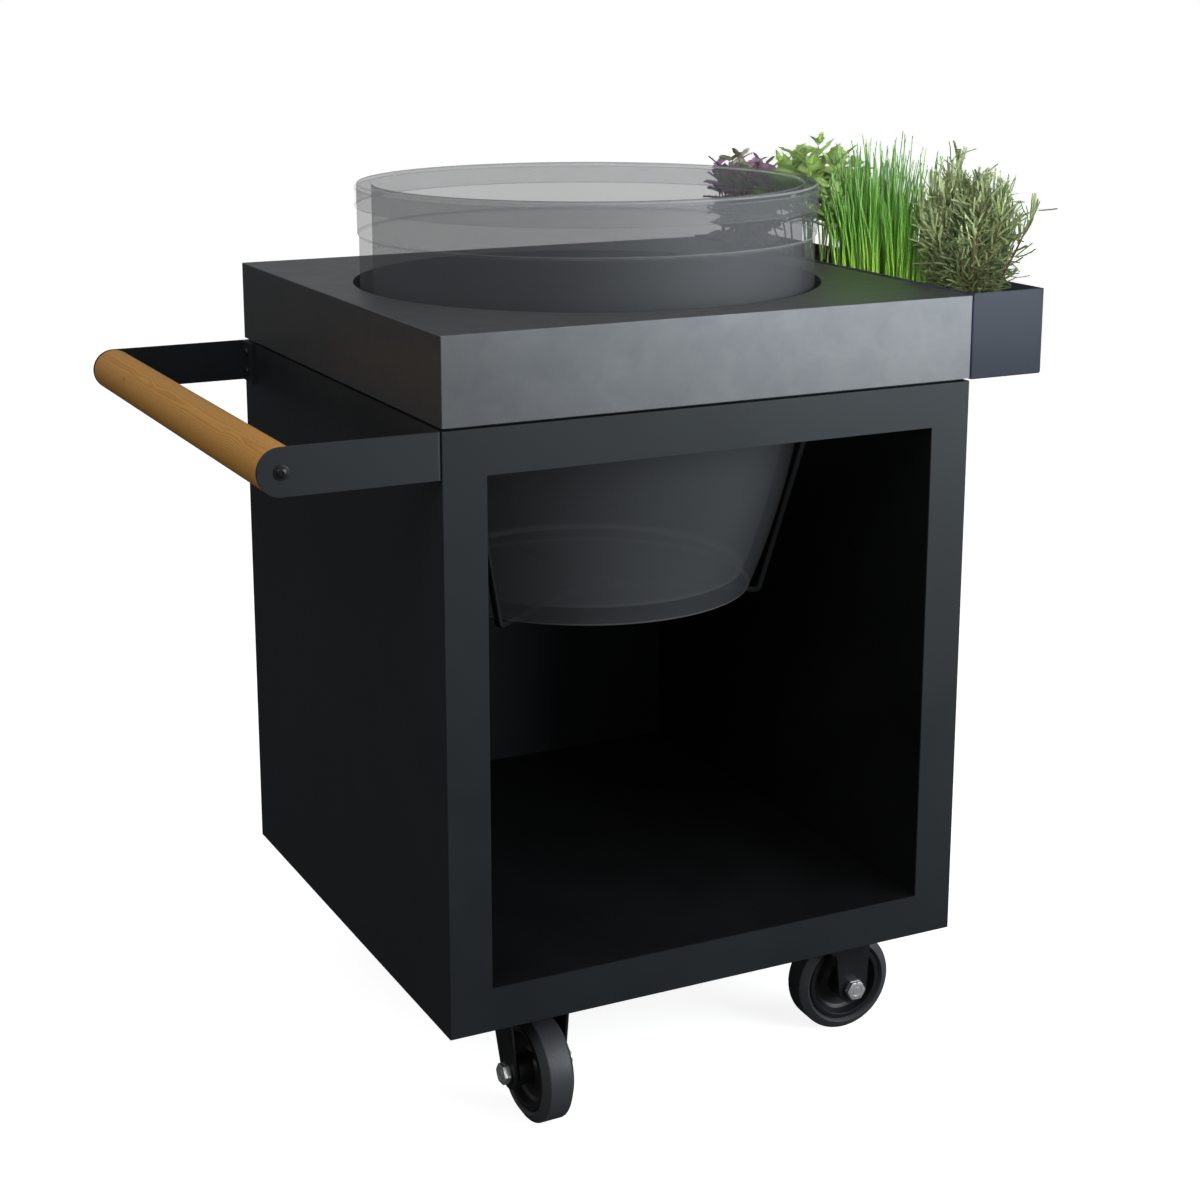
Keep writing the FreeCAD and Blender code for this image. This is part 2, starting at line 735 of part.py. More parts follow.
# The herbs from front to rear, with their level outlines from the soil up, given as shares of the
# herb's height, of the reach across the planter and of the pitch along it
BUSH_SHARES = ((0, 0.45, 0.3), (0.32, 0.92, 0.43), (0.65, 1, 0.49), (0.88, 0.8, 0.43), (1, 0.35, 0.23))
TUFT_SHARES = ((0, 0.7, 0.36), (0.35, 0.85, 0.42), (0.7, 1, 0.48), (0.9, 0.9, 0.45), (1, 0.6, 0.34))
HERBS = (("rosemary", BUSH_SHARES), ("chives", TUFT_SHARES), ("mint", BUSH_SHARES), ("basil", BUSH_SHARES))


def build_herbs():
    """A leafy mass for each herb, lofted through level ellipses."""
    middle = (len(HERBS) - 1) / 2
    for number, (name, shares) in enumerate(HERBS):
        rings = []
        for height_share, reach_share, pitch_share in shares:
            centre = FreeCAD.Vector(0, 0, mm("soil_top") + height_share * mm(name + "_height"))
            across = reach_share * mm("herb_reach")
            along = pitch_share * mm("herb_pitch")
            ring = Part.Wire(Part.Ellipse(centre, max(across, along), min(across, along)).toShape())
            if along > across:
                ring.rotate(centre, FreeCAD.Vector(0, 0, 1), 90)
            rings.append(ring)
        leaves = doc.addObject("Part::Feature", name)
        leaves.Shape = Part.makeLoft(rings, True, False)
        finish(leaves, "herb_" + name, x="planter_mid", y="%s * herb_pitch" % (number - middle))


# Casters
CORNERS = (("front_left", -1, -1), ("front_right", 1, -1), ("rear_left", -1, 1), ("rear_right", 1, 1))


def mount_bolt_spots():
    """Name and place of each bolt that holds a caster's plate, on the table."""
    spots = []
    for corner, x_side, y_side in CORNERS:
        for number, (x, y) in enumerate(((-1, -1), (1, -1), (1, 1), (-1, 1)), start=1):
            spots.append(("%s_%d" % (corner, number),
                          ("%d * caster_x + %d * mount_bolt_x / 2" % (x_side, x),
                           "%d * caster_y + %d * mount_bolt_y / 2" % (y_side, y))))
    return spots


def build_mount(corner, x, y):
    """The fixed plate with its bearing ring and kingpin."""
    plate = block(corner + "_plate", ("-mount_length / 2", "mount_length / 2"),
                  ("-mount_width / 2", "mount_width / 2"), ("caster_height - mount_wall", "caster_height"))
    plate = rounded(corner + "_plate_soft", plate, "mount_round", is_upright)
    race = rod(corner + "_race", "z", ("0", "0"), "race_radius", "race_low", "caster_height - mount_wall")
    pin = rod(corner + "_pin", "z", ("0", "0"), "kingpin_radius", "pin_head_top", "race_low")
    head = rod(corner + "_pin_head", "z", ("0", "0"), "kingpin_head",
               "pin_head_top - kingpin_head_height", "pin_head_top")
    holes = []
    for number, (sx, sy) in enumerate(((-1, -1), (1, -1), (1, 1), (-1, 1)), start=1):
        spot = ("%d * mount_bolt_x / 2" % sx, "%d * mount_bolt_y / 2" % sy)
        holes.append(rod("%s_hole_%d" % (corner, number), "z", spot, "mount_bolt",
                         "caster_height - mount_wall", "caster_height"))
    solid = fuse(corner + "_mount_body", [plate, race, pin, head])
    finish(cut(corner + "_mount", solid, holes), "caster_%s_mount" % corner, x=x, y=y)


def build_fork(corner, x, y, turn):
    """Crown, bridge and two legs that carry the axle behind the kingpin."""
    crown = rod(corner + "_crown", "z", ("0", "0"), "crown_radius", "bridge_top", "crown_top")
    bridge = block(corner + "_bridge", ("-leg_half", "trail + leg_half"), ("-leg_out", "leg_out"),
                   ("bridge_low", "bridge_top"))
    solids = [crown, bridge]
    for name, side in (("a", -1), ("b", 1)):
        wall = between(side, "fork_gap / 2", "leg_out")
        solids.append(block("%s_leg_%s" % (corner, name), ("trail - leg_half", "trail + leg_half"), wall,
                            ("wheel_radius", "bridge_top")))
        solids.append(rod("%s_ear_%s" % (corner, name), "y", ("trail", "wheel_radius"), "leg_half", *wall))
    fork = fuse(corner + "_fork_body", solids)
    holes = [rod(corner + "_pin_hole", "z", ("0", "0"), "kingpin_radius + bearing_clearance",
                 "bridge_low", "crown_top"),
             rod(corner + "_axle_hole", "y", ("trail", "wheel_radius"), "axle_radius", "-leg_out", "leg_out")]
    finish(cut(corner + "_fork", fork, holes), "caster_%s_fork" % corner, x=x, y=y, turn=turn)


def build_axle(corner, x, y, turn):
    """A flanged hexagon bolt through both legs, and its nut."""
    centre = ("trail", "wheel_radius")
    hex_far = "leg_out + axle_flange_height + axle_hex_height"
    nut_far = "leg_out + axle_flange_height + axle_nut_height"
    tip = nut_far + " + axle_tail"
    shank = rod(corner + "_axle_shank", "y", centre, "axle_radius", "-leg_out", tip)
    flange = rod(corner + "_axle_flange", "y", centre, "axle_flange", "-leg_out - axle_flange_height",
                 "-leg_out")
    head = hexagon(corner + "_axle_head", "y", centre, "axle_hex", "-(%s)" % hex_far,
                   "-leg_out - axle_flange_height")
    finish(fuse(corner + "_axle_bolt", [shank, flange, head]), "caster_%s_axle_bolt" % corner,
           x=x, y=y, turn=turn)
    washer = rod(corner + "_nut_flange", "y", centre, "axle_flange", "leg_out",
                 "leg_out + axle_flange_height")
    nut = hexagon(corner + "_nut_hex", "y", centre, "axle_hex", "leg_out + axle_flange_height", nut_far)
    bore = rod(corner + "_nut_bore", "y", centre, "axle_radius", "leg_out", nut_far)
    finish(cut(corner + "_axle_nut", fuse(corner + "_nut_body", [washer, nut]), [bore]),
           "caster_%s_axle_nut" % corner, x=x, y=y, turn=turn)


def build_wheel(corner, x, y, turn):
    """A moulded core with hub, web and rim, and the rubber tyre around it.

    The wheel stands off the fork's middle by wheel_shift towards the nut, so its hub is longer on
    the bolt's side.
    """
    ahead_x = "%s + trail * cos(%s) - wheel_shift * sin(%s)" % (x, turn, turn)
    ahead_y = "%s + trail * sin(%s) + wheel_shift * cos(%s)" % (y, turn, turn)
    rim_half = "wheel_width / 2 - core_inset"
    half = [
        ("hub_radius + hub_draft", "web_half"),
        ("core_radius - core_lip - core_slope", "web_half"),
        ("core_radius - core_lip", rim_half + " - core_slope / 2"),
        ("core_radius - core_lip", rim_half),
        ("core_radius", rim_half),
    ]
    corners = ([("bore_radius", "hub_nut_side"), ("hub_radius", "hub_nut_side")] + half
               + [(radius, "-(%s)" % level) for radius, level in reversed(half)]
               + [("hub_radius", "-hub_bolt_side"), ("bore_radius", "-hub_bolt_side")])
    core = spun(corner + "_core", "XY_Plane", corners)
    finish(core, "caster_%s_core" % corner, x=ahead_x, y=ahead_y, z="wheel_radius", turn=turn)

    tyre = spun(corner + "_tyre", "XY_Plane", [
        ("core_radius", "-wheel_width / 2"),
        ("wheel_radius - tyre_bevel", "-wheel_width / 2"),
        ("wheel_radius", "-tread_width / 2"),
        ("wheel_radius", "tread_width / 2"),
        ("wheel_radius - tyre_bevel", "wheel_width / 2"),
        ("core_radius", "wheel_width / 2"),
    ])
    doc.recompute()
    ring = tyre.Tip
    outer = mm("wheel_radius")
    edges = []
    for number, edge in enumerate(ring.Shape.Edges, start=1):
        if is_circle(edge) and abs(edge.Curve.Radius - outer) < NEAR:
            edges.append("Edge%d" % number)
    shoulder = tyre.newObject("PartDesign::Fillet", corner + "_tyre_shoulder")
    shoulder.Base = (ring, edges)
    bind(shoulder, "Radius", "tyre_round")
    tyre.Tip = shoulder
    finish(tyre, "caster_%s_tyre" % corner, x=ahead_x, y=ahead_y, z="wheel_radius", turn=turn)


def build_casters():
    for corner, x_side, y_side in CORNERS:
        x = "%d * caster_x" % x_side
        y = "%d * caster_y" % y_side
        turn = corner + "_angle"
        build_mount(corner, x, y)
        build_fork(corner, x, y, turn)
        build_axle(corner, x, y, turn)
        build_wheel(corner, x, y, turn)
    bolts = []
    for name, spot in mount_bolt_spots():
        shank = rod("mount_shank_" + name, "z", spot, "mount_bolt", "caster_height - mount_wall",
                    "caster_height + plate_wall + mount_bolt_tail")
        head = hexagon("mount_head_" + name, "z", spot, "mount_bolt_head",
                       "caster_height - mount_wall - mount_bolt_head_height", "caster_height - mount_wall")
        bolts.append(fuse("mount_bolt_" + name, [shank, head]))
    finish(together("caster_bolts", bolts), "caster_bolts")
    nuts = []
    for name, spot in mount_bolt_spots():
        low = "caster_height + plate_wall"
        high = low + " + mount_nut_height"
        blank = hexagon("mount_nut_" + name, "z", spot, "mount_bolt_head", low, high)
        bore = rod("mount_nut_bore_" + name, "z", spot, "mount_bolt", low, high)
        nuts.append(cut("mount_nut_whole_" + name, blank, [bore]))
    finish(together("caster_nuts", nuts), "caster_nuts")


build_cabinet()
build_worktop()
build_cradle()
build_bowl()
build_handle()
build_planter()
build_herbs()
build_casters()
doc.recompute()


def check():
    """Stop if any object failed or any piece is not a sound solid."""
    for thing in doc.Objects:
        if "Invalid" in thing.State or "Error" in thing.State:
            raise RuntimeError("failed: " + thing.Label)
    labels = [piece.Label for piece in pieces]
    if len(set(labels)) != len(labels):
        raise RuntimeError("two pieces share a name")
    for piece in pieces:
        shape = piece.Shape
        if shape.isNull() or not shape.isValid() or not shape.Solids:
            raise RuntimeError("unsound: " + piece.Label)


check()
os.makedirs("parts", exist_ok=True)
for piece in pieces:
    piece.Shape.exportStep("parts/%s.step" % piece.Label)
print(len(pieces), "pieces,", sum(len(piece.Shape.Solids) for piece in pieces), "solids")
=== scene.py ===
import json
import math

import bpy
import numpy as np
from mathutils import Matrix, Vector


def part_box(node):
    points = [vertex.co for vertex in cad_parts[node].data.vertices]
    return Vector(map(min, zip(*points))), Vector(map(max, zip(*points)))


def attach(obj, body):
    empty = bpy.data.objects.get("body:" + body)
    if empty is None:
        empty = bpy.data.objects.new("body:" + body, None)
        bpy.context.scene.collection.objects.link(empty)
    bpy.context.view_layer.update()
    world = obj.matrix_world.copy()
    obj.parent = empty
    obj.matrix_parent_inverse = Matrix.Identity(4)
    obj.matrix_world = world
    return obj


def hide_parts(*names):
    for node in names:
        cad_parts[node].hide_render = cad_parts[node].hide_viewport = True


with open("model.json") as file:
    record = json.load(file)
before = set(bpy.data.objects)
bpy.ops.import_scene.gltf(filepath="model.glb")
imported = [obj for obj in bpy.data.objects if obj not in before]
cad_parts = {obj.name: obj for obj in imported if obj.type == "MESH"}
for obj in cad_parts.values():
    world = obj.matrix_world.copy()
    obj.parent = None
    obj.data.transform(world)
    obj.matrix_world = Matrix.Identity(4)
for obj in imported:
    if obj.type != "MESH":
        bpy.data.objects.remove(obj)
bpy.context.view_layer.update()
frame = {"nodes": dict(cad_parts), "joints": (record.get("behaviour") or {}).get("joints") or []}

# Kamado grill table: powder-coated cabinet, steel worktop, smoky see-through grill bowl, oiled wooden
# handle, herb planter and swivel casters. Metres, +Z up, front towards -Y.
MM = 0.001
TURN = 2 * math.pi
UP = np.array([0, 0, 1.0])
HEAD_SIDES = 48
HEAD_ANGLES = np.arange(HEAD_SIDES) / HEAD_SIDES * TURN
JOINTS = {joint["name"]: joint for joint in frame["joints"]}
CORNERS = ("front_left", "front_right", "rear_left", "rear_right")


def span(node):
    """The lowest corner, the highest corner and the middle of a node's box, as arrays."""
    low, high = (np.array(corner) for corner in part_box(node))
    return low, high, (low + high) / 2


def unit(vectors):
    """Vectors divided by their lengths."""
    return vectors / np.linalg.norm(vectors, axis=-1, keepdims=True)


def smoothstep(share):
    """3 u^2 - 2 u^3, level at 0 and at 1."""
    return share * share * (3 - 2 * share)


# Meshes
def ring_quads(rings, around, closed=False):
    """Quads between rings of points; a closed set joins the last ring to the first."""
    index = np.arange(rings * around).reshape(rings, around)
    index = np.hstack([index, index[:, :1]])
    if closed:
        index = np.vstack([index, index[:1]])
    return np.stack([index[:-1, :-1], index[:-1, 1:], index[1:, 1:], index[1:, :-1]], -1).reshape(-1, 4)


def patch(points, quads, tris, marks):
    """Points with their faces, and four finish marks at each point where it has any."""
    points = points.reshape(-1, 3)
    marks = np.zeros((len(points), 4)) if marks is None else marks.reshape(-1, 4)
    return {"points": points, "quads": quads, "tris": tris, "marks": marks}


def capped(rings, marks=None):
    """Closed bodies from rings of shape (bodies, rings, points, 3); a fan about its mean closes each end."""
    bodies, count, around, _ = rings.shape
    each = count * around + 2
    first = rings[:, 0].mean(1, keepdims=True)
    last = rings[:, -1].mean(1, keepdims=True)
    points = np.concatenate([rings.reshape(bodies, -1, 3), first, last], 1)
    ring = np.arange(around)
    ahead = np.roll(ring, -1)
    top = ring + (count - 1) * around
    fans = np.r_[
        np.stack([ahead, ring, np.full(around, each - 2)], -1),
        np.stack([top, ahead + (count - 1) * around, np.full(around, each - 1)], -1),
    ]
    start = np.arange(bodies)[:, None, None] * each
    quads = (start + ring_quads(count, around)).reshape(-1, 4)
    tris = (start + fans).reshape(-1, 3)
    if marks is not None:
        flat = marks.reshape(bodies, -1, 4)
        marks = np.concatenate([flat, flat[:, :1], flat[:, -1:]], 1)
    return patch(points, quads, tris, marks)


def looped(rings, marks=None):
    """A closed hoop from rings of shape (rings, points, 3), the last joined to the first."""
    count, around, _ = rings.shape
    return patch(rings, ring_quads(count, around, True), np.zeros((0, 3), int), marks)


def softened(outline, radius, steps=4, closed=True):
    """An outline whose corners are arcs.

    Each arc touches both sides at radius / tan(half the corner's angle) from the corner, and its
    points are the slerp between the two radii that end there. The ends of an open outline stay.
    """
    corner = np.asarray(outline, float)
    radius = np.broadcast_to(np.asarray(radius, float), len(corner))[:, None]
    before = unit(np.roll(corner, 1, 0) - corner)
    after = unit(np.roll(corner, -1, 0) - corner)
    half = np.arccos(np.clip((before * after).sum(1), -1, 1))[:, None] / 2
    half = np.minimum(half, TURN / 4 - 1e-4)
    centre = corner + unit(before + after) * radius / np.sin(half)
    start = corner + before * radius / np.tan(half) - centre
    end = corner + after * radius / np.tan(half) - centre
    sweep = (TURN / 2 - 2 * half)[:, :, None]
    share = np.linspace(0, 1, steps + 1)[None, :, None]
    arcs = np.sin((1 - share) * sweep) * start[:, None] + np.sin(share * sweep) * end[:, None]
    arcs = centre[:, None] + arcs / np.sin(sweep)
    if closed:
        return arcs.reshape(-1, 2)
    return np.r_[corner[:1], arcs[1:-1].reshape(-1, 2), corner[-1:]]


def box_outline(x, y, radius, steps):
    """A rectangle that reaches x and y to each side, with round corners, anticlockwise."""
    return softened([(-x, -y), (x, -y), (x, y), (-x, y)], radius, steps)


def spun(profile, sides, edge=None):
    """Rings (r cos a, r sin a, level) about Z, and marks that say how near an edge each point is, which set
    a painted highlight.
    """
    angle = np.arange(sides) / sides * TURN
    radius, level = profile[:, :1], np.repeat(profile[:, 1:], sides, 1)
    rings = np.stack([radius * np.cos(angle), radius * np.sin(angle), level], -1)
    if edge is None:
        return rings, None
    marks = np.zeros((len(edge), sides, 4))
    marks[..., 0] = edge[:, None]
    marks[..., 3] = 1
    return rings, marks


def lathe(profile, sides, edge=None):
    """A solid of revolution about Z whose profile starts and ends near the axis."""
    rings, marks = spun(profile, sides, edge)
    return capped(rings[None], marks)


def hoop(profile, sides, edge=None):
    """A ring about Z whose closed profile runs up its outer side."""
    return looped(*spun(profile, sides, edge))


def circle(radius):
    """The radius of a round outline at each angle."""
    return np.full(HEAD_SIDES, radius)


def hexagon(size, cut=1):
    """The radius of a hexagon at each angle, size / cos of the angle from the middle of its side.

    Its corners are cut off at a share of their own radius.
    """
    radius = size / np.cos(np.mod(HEAD_ANGLES, TURN / 6) - TURN / 12)
    return np.minimum(radius, size / math.cos(TURN / 12) * cut)


def polar(radii, levels):
    """Rings from a radius for each angle round the middle, and a level for each ring."""
    radii = np.array(radii)
    levels = np.repeat(np.array(levels, float)[:, None], HEAD_SIDES, 1)
    return np.stack([radii * np.cos(HEAD_ANGLES), radii * np.sin(HEAD_ANGLES), levels], -1)


def turned(part, matrix, place=(0, 0, 0)):
    """A patch with its points multiplied by a matrix and moved."""
    return dict(part, points=part["points"] @ np.asarray(matrix, float).T + np.asarray(place, float))


def along_y(part, place=(0, 0, 0), reverse=False):
    """A patch made about Z laid down along Y."""
    sign = -1 if reverse else 1
    return turned(part, [[sign, 0, 0], [0, 0, sign], [0, -1, 0]], place)


def centred(part, centre):
    """A patch moved over a centre, at its own level."""
    return turned(part, np.eye(3), centre * (1, 1, 0))


def settle(thing, **settings):
    """A thing with its settings made."""
    for key, value in settings.items():
        setattr(thing, key, value)
    return thing


def placed(name, data):
    """An object that is linked to the scene."""
    thing = bpy.data.objects.new(name, data)
    bpy.context.scene.collection.objects.link(thing)
    return thing


def piece(name, parts, material, body, stands_for=(), crease=38):
    """A mesh object from patches, shaded smooth except at edges sharper than the crease angle."""
    offsets = np.cumsum([0] + [len(part["points"]) for part in parts])
    quads = np.concatenate([part["quads"] + offset for part, offset in zip(parts, offsets)])
    tris = np.concatenate([part["tris"] + offset for part, offset in zip(parts, offsets)])
    points, marks = (np.concatenate([part[key] for part in parts]) for key in ("points", "marks"))
    corner = np.r_[quads.ravel(), tris.ravel()].astype(np.int32)
    sizes = np.repeat([4, 3], [len(quads), len(tris)])
    starts = np.r_[0, np.cumsum(sizes)[:-1]].astype(np.int32)
    mesh = bpy.data.meshes.new(name)
    mesh.vertices.add(len(points))
    mesh.vertices.foreach_set("co", points.astype(np.float32).ravel())
    mesh.loops.add(len(corner))
    mesh.loops.foreach_set("vertex_index", corner)
    mesh.polygons.add(len(sizes))
    mesh.polygons.foreach_set("loop_start", starts)
    mesh.update(calc_edges=True)
    mesh.polygons.foreach_set("use_smooth", np.ones(len(sizes), bool))
    mesh.set_sharp_from_angle(angle=math.radians(crease))
    if marks.any():
        mesh.attributes.new("marks", "FLOAT_COLOR", "POINT").data.foreach_set("color", marks.ravel())
    mesh.materials.append(material)
    thing = placed(name, mesh)
    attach(thing, body)
    if stands_for:
        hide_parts(*stands_for)


# Materials. Each short function below adds a node to the tree of its first socket and returns a socket.
def feed(socket, value):
    """Links a socket from another, or sets its value. A colour is given by its red, green and blue."""
    if isinstance(value, bpy.types.NodeSocket):
        socket.id_data.links.new(value, socket)
    else:
        socket.default_value = (*value, 1) if socket.type == "RGBA" else value


def add(tree, kind, inputs, **settings):
    """The outputs of a new node with its settings made and its inputs fed."""
    node = settle(tree.nodes.new("ShaderNode" + kind), **settings)
    for key, value in inputs.items():
        feed(node.inputs[key], value)
    return node.outputs


def number(operation, one, other=0, clamp=False):
    """One sum or other operation on two numbers."""
    return add(one.id_data, "Math", {0: one, 1: other}, operation=operation, use_clamp=clamp)[0]


def times(one, other):
    """A product."""
    return number("MULTIPLY", one, other)


def blend(factor, one, other, share=None):
    """A colour mixed from two others by a factor, times a share if one is given."""
    factor = factor if share is None else times(factor, share)
    return add(factor.id_data, "Mix", {0: factor, 6: one, 7: other}, data_type="RGBA")[2]


def stretch(value, low, high, to_low=0, to_high=1):
    """A number carried from one range to another, and held inside it."""
    inputs = {"Value": value, "From Min": low, "From Max": high, "To Min": to_low, "To Max": to_high}
    return add(value.id_data, "MapRange", inputs)[0]


def noise(place, scale, detail=2, roughness=0.5, distortion=0):
    """A noise value, about one feature for each 1 / scale metres."""
    inputs = {
        "Vector": place, "Scale": scale, "Detail": detail, "Roughness": roughness, "Distortion": distortion}
    return add(place.id_data, "TexNoise", inputs)[0]


def scaled(place, scale):
    """A place stretched by one factor for each axis."""
    return add(place.id_data, "Mapping", {"Vector": place, "Scale": scale})[0]


def effect(build, **inputs):
    """A node group named after the function that builds it, with the sockets it returns as its outputs."""
    group = bpy.data.node_groups.new(build.__name__, "ShaderNodeTree")
    for label, kind in inputs.items():
        group.interface.new_socket(label, in_out="INPUT", socket_type="NodeSocket" + kind)
    made = build(*group.nodes.new("NodeGroupInput").outputs[:len(inputs)])
    for label in made:
        group.interface.new_socket(label, in_out="OUTPUT", socket_type="NodeSocketFloat")
    result = group.nodes.new("NodeGroupOutput")
    for label, value in made.items():
        feed(result.inputs[label], value)
    return group


def powder_coat(place, grain):
    """Fine leathery pits of sprayed paint and faint wide clouds in its colour and gloss."""
    fine = noise(place, grain, 2, 0.6)
    wide = noise(place, 9, 4, 0.55)
    return {"Height": fine, "Clouds": stretch(wide, 0.3, 0.7), "Specks": stretch(fine, 0.62, 0.75)}


def rolled_steel(place):
    """Soft blotches and faint long streaks left on a steel plate by rolling and waxing."""
    blotch = noise(place, 48, 6, 0.62, 0.4)
    wide = noise(place, 9, 3, 0.5)
    streak = noise(scaled(place, (6, 6, 90)), 1.6, 4, 0.6)
    both = times(number("ADD", blotch, wide), 0.5)
    return {"Blotches": stretch(both, 0.38, 0.62), "Streaks": stretch(streak, 0.35, 0.65),
            "Height": noise(place, 900, 2, 0.6)}


def wood_grain(place):
    """Grain along Y: rings about an axis beside the stick, pores stretched along it, and knots."""
    drift = noise(scaled(place, (9, 1.6, 9)), 2.2, 2, 0.5)
    cells = {"Vector": scaled(place, (30, 9, 30)), "Scale": 1, "Randomness": 1}
    knots = add(place.id_data, "TexVoronoi", cells, feature="F1")["Distance"]
    bend = times(stretch(knots, 0.4, 0), 0.0035)
    axes = add(place.id_data, "SeparateXYZ", {0: place})
    off_x = number("ADD", axes[0], 0.47)
    off_z = number("SUBTRACT", axes[2], 0.83)
    far = number("SQRT", number("ADD", times(off_x, off_x), times(off_z, off_z)))
    far = number("ADD", number("ADD", far, times(drift, 0.006)), bend)
    wave = number("SINE", times(far, 3200))
    pores = noise(scaled(place, (1400, 60, 1400)), 1, 2, 0.6)
    return {"Rings": stretch(wave, -1, 1), "Pores": stretch(pores, 0.55, 0.72),
            "Knots": stretch(knots, 0.1, 0.02)}


def apart(marks):
    """The sockets of the first three marks, from all of them as a colour."""
    return add(marks.id_data, "SeparateColor", {0: marks})


def leaf_markings(leaf, veins):
    """Midrib, side veins and rim of a leaf from its own values: along, across, chance and underside."""
    along, across, chance = apart(leaf)
    slant = number("SUBTRACT", times(along, veins), times(across, 1.6))
    return {"Midrib": stretch(across, 0.16, 0.02), "Chance": chance,
            "Vein": stretch(number("PINGPONG", slant, 0.5), 0.12, 0.02),
            "Rim": stretch(across, 0.7, 1)}


POWDER = effect(powder_coat, Place="Vector", Grain="Float")
STEEL = effect(rolled_steel, Place="Vector")
GRAIN = effect(wood_grain, Place="Vector")
MARKINGS = effect(leaf_markings, Leaf="Color", Veins="Float")


def use(group, first, *others):
    """The outputs of one of the shared effects, placed in the tree of its first input."""
    return add(first.id_data, "Group", dict(enumerate((first, *others))), node_tree=group)


def own_marks(material):
    """The sockets of the marks that a mesh carries: as a colour, and the fourth one."""
    outputs = add(material.node_tree, "Attribute", {}, attribute_name="marks", attribute_type="GEOMETRY")
    return outputs["Color"], outputs["Alpha"]


def shade(material, values):
    """Sets or links sockets of a material's shader."""
    for label, value in values.items():
        feed(material.node_tree.nodes["Principled BSDF"].inputs[label], value)


def begin(name, roughness, metallic, gloss):
    """A material with its shader's plain values set, and the socket of the place on the piece."""
    material = bpy.data.materials.new(name)
    material.use_nodes = True
    shade(material, {"Roughness": roughness, "Metallic": metallic, "Specular IOR Level": gloss})
    return material, add(material.node_tree, "TexCoord", {})["Object"]


def finished(material, tone, roughness, height, depth):
    """A material with its colour, its roughness and a relief of the given depth linked."""
    relief = add(material.node_tree, "Bump", {"Height": height, "Distance": depth, "Strength": 1})[0]
    shade(material, {"Base Color": tone, "Roughness": roughness, "Normal": relief})
    return material


def coated(name, dark, light, roughness, gloss, grain=700):
    """Powder-coated steel between two close colours, with a cool sheen."""
    material, place = begin(name, roughness, 0, gloss)
    shade(material, {"Specular Tint": (0.86, 0.94, 1)})
    marks = use(POWDER, place, grain)
    tone = blend(marks["Clouds"], dark, light)
    tone = blend(marks["Specks"], tone, [value * 1.7 for value in light], 0.25)
    rough = stretch(marks["Clouds"], 0, 1, roughness - 0.05, roughness + 0.05)
    return finished(material, tone, rough, marks["Height"], 6e-5)


def make_worktop_steel():
    """Waxed dark steel plate: satin, blotchy and faintly streaked."""
    material, place = begin("worktop_steel", 0.36, 0.7, 0.5)
    marks = use(STEEL, place)
    tone = blend(marks["Blotches"], (0.11, 0.117, 0.127), (0.136, 0.141, 0.148))
    tone = blend(marks["Streaks"], tone, (0.118, 0.124, 0.136), 0.35)
    rough = stretch(marks["Blotches"], 0, 1, 0.385, 0.345)
    return finished(material, tone, rough, marks["Height"], 3e-5)


def make_oiled_wood():
    """Honey-coloured oiled wood with rings, short pores and small knots."""
    material, place = begin("oiled_wood", 0.45, 0, 0.2)
    marks = use(GRAIN, place)
    tone = blend(marks["Rings"], (0.8, 0.405, 0.092), (0.64, 0.3, 0.06))
    wide = stretch(noise(scaled(place, (20, 3, 20)), 1, 3), 0.3, 0.7)
    tone = blend(wide, tone, (0.66, 0.31, 0.064), 0.4)
    tone = blend(marks["Pores"], tone, (0.36, 0.15, 0.034), 0.35)
    tone = blend(marks["Knots"], tone, (0.2, 0.075, 0.02), 0.7)
    height = number("SUBTRACT", times(marks["Rings"], 0.3), marks["Pores"])
    return finished(material, tone, stretch(marks["Rings"], 0, 1, 0.42, 0.52), height, 8e-5)


def make_plain(name, dark, light, roughness, gloss, scale, depth, metallic=0, detail=4, vary=0.06):
    """A plated, moulded or rubbery finish: two close colours and a fine relief."""
    material, place = begin(name, roughness, metallic, gloss)
    value = noise(place, scale, detail, 0.6)
    tone = blend(stretch(value, 0.3, 0.7), dark, light)
    rough = stretch(value, 0.3, 0.7, roughness + vary, roughness - vary)
    return finished(material, tone, rough, value, depth)


def make_smoky(name, tint, alpha, edge_alpha):
    """A smoky see-through wall, denser where it is seen edge-on, with a painted highlight: paler and denser
    along its rounded edges.
    """
    material, place = begin(name, 0.48, 0, 0.12)
    wide = stretch(noise(place, 7, 3), 0.3, 0.7)
    tone = blend(wide, tint, [value * 1.12 for value in tint])
    # Painted highlight: the edge marks turn the colour towards pale grey and add alpha along the rounded
    # edges, where the fillets would catch the light.
    edge = apart(own_marks(material)[0])[0]
    facing = add(material.node_tree, "LayerWeight", {"Blend": 0.35})["Facing"]
    grazing = stretch(number("POWER", facing, 3), 0, 1, alpha, edge_alpha)
    shade(material, {"Base Color": blend(edge, tone, (0.42, 0.43, 0.44), 0.8),
                 "Alpha": number("ADD", grazing, times(edge, 0.22), True)})
    return material


def make_leaf(name, old, young, under, veins, rim, roughness, gloss, vein_tone=1.25):
    """A leaf with ribs, a paler underside and a chance tone for each leaf."""
    material, place = begin(name, roughness, 0, gloss)
    values, underside = own_marks(material)
    marks = use(MARKINGS, values, veins)
    mottled = stretch(noise(place, 160, 3), 0.35, 0.65)
    lines = number("MAXIMUM", marks["Midrib"], times(marks["Vein"], 0.5))
    tone = blend(marks["Chance"], old, young)
    tone = blend(mottled, tone, [v * 0.72 for v in old], 0.3)
    tone = blend(lines, tone, [min(1, v * vein_tone) for v in young], 0.6)
    if rim:
        tone = blend(marks["Rim"], tone, rim, 0.5)
    tone = blend(underside, tone, under, 0.6)
    rough = stretch(mottled, 0, 1, roughness - 0.08, roughness + 0.08)
    return finished(material, tone, rough, number("SUBTRACT", mottled, times(lines, 2)), 0.0003)


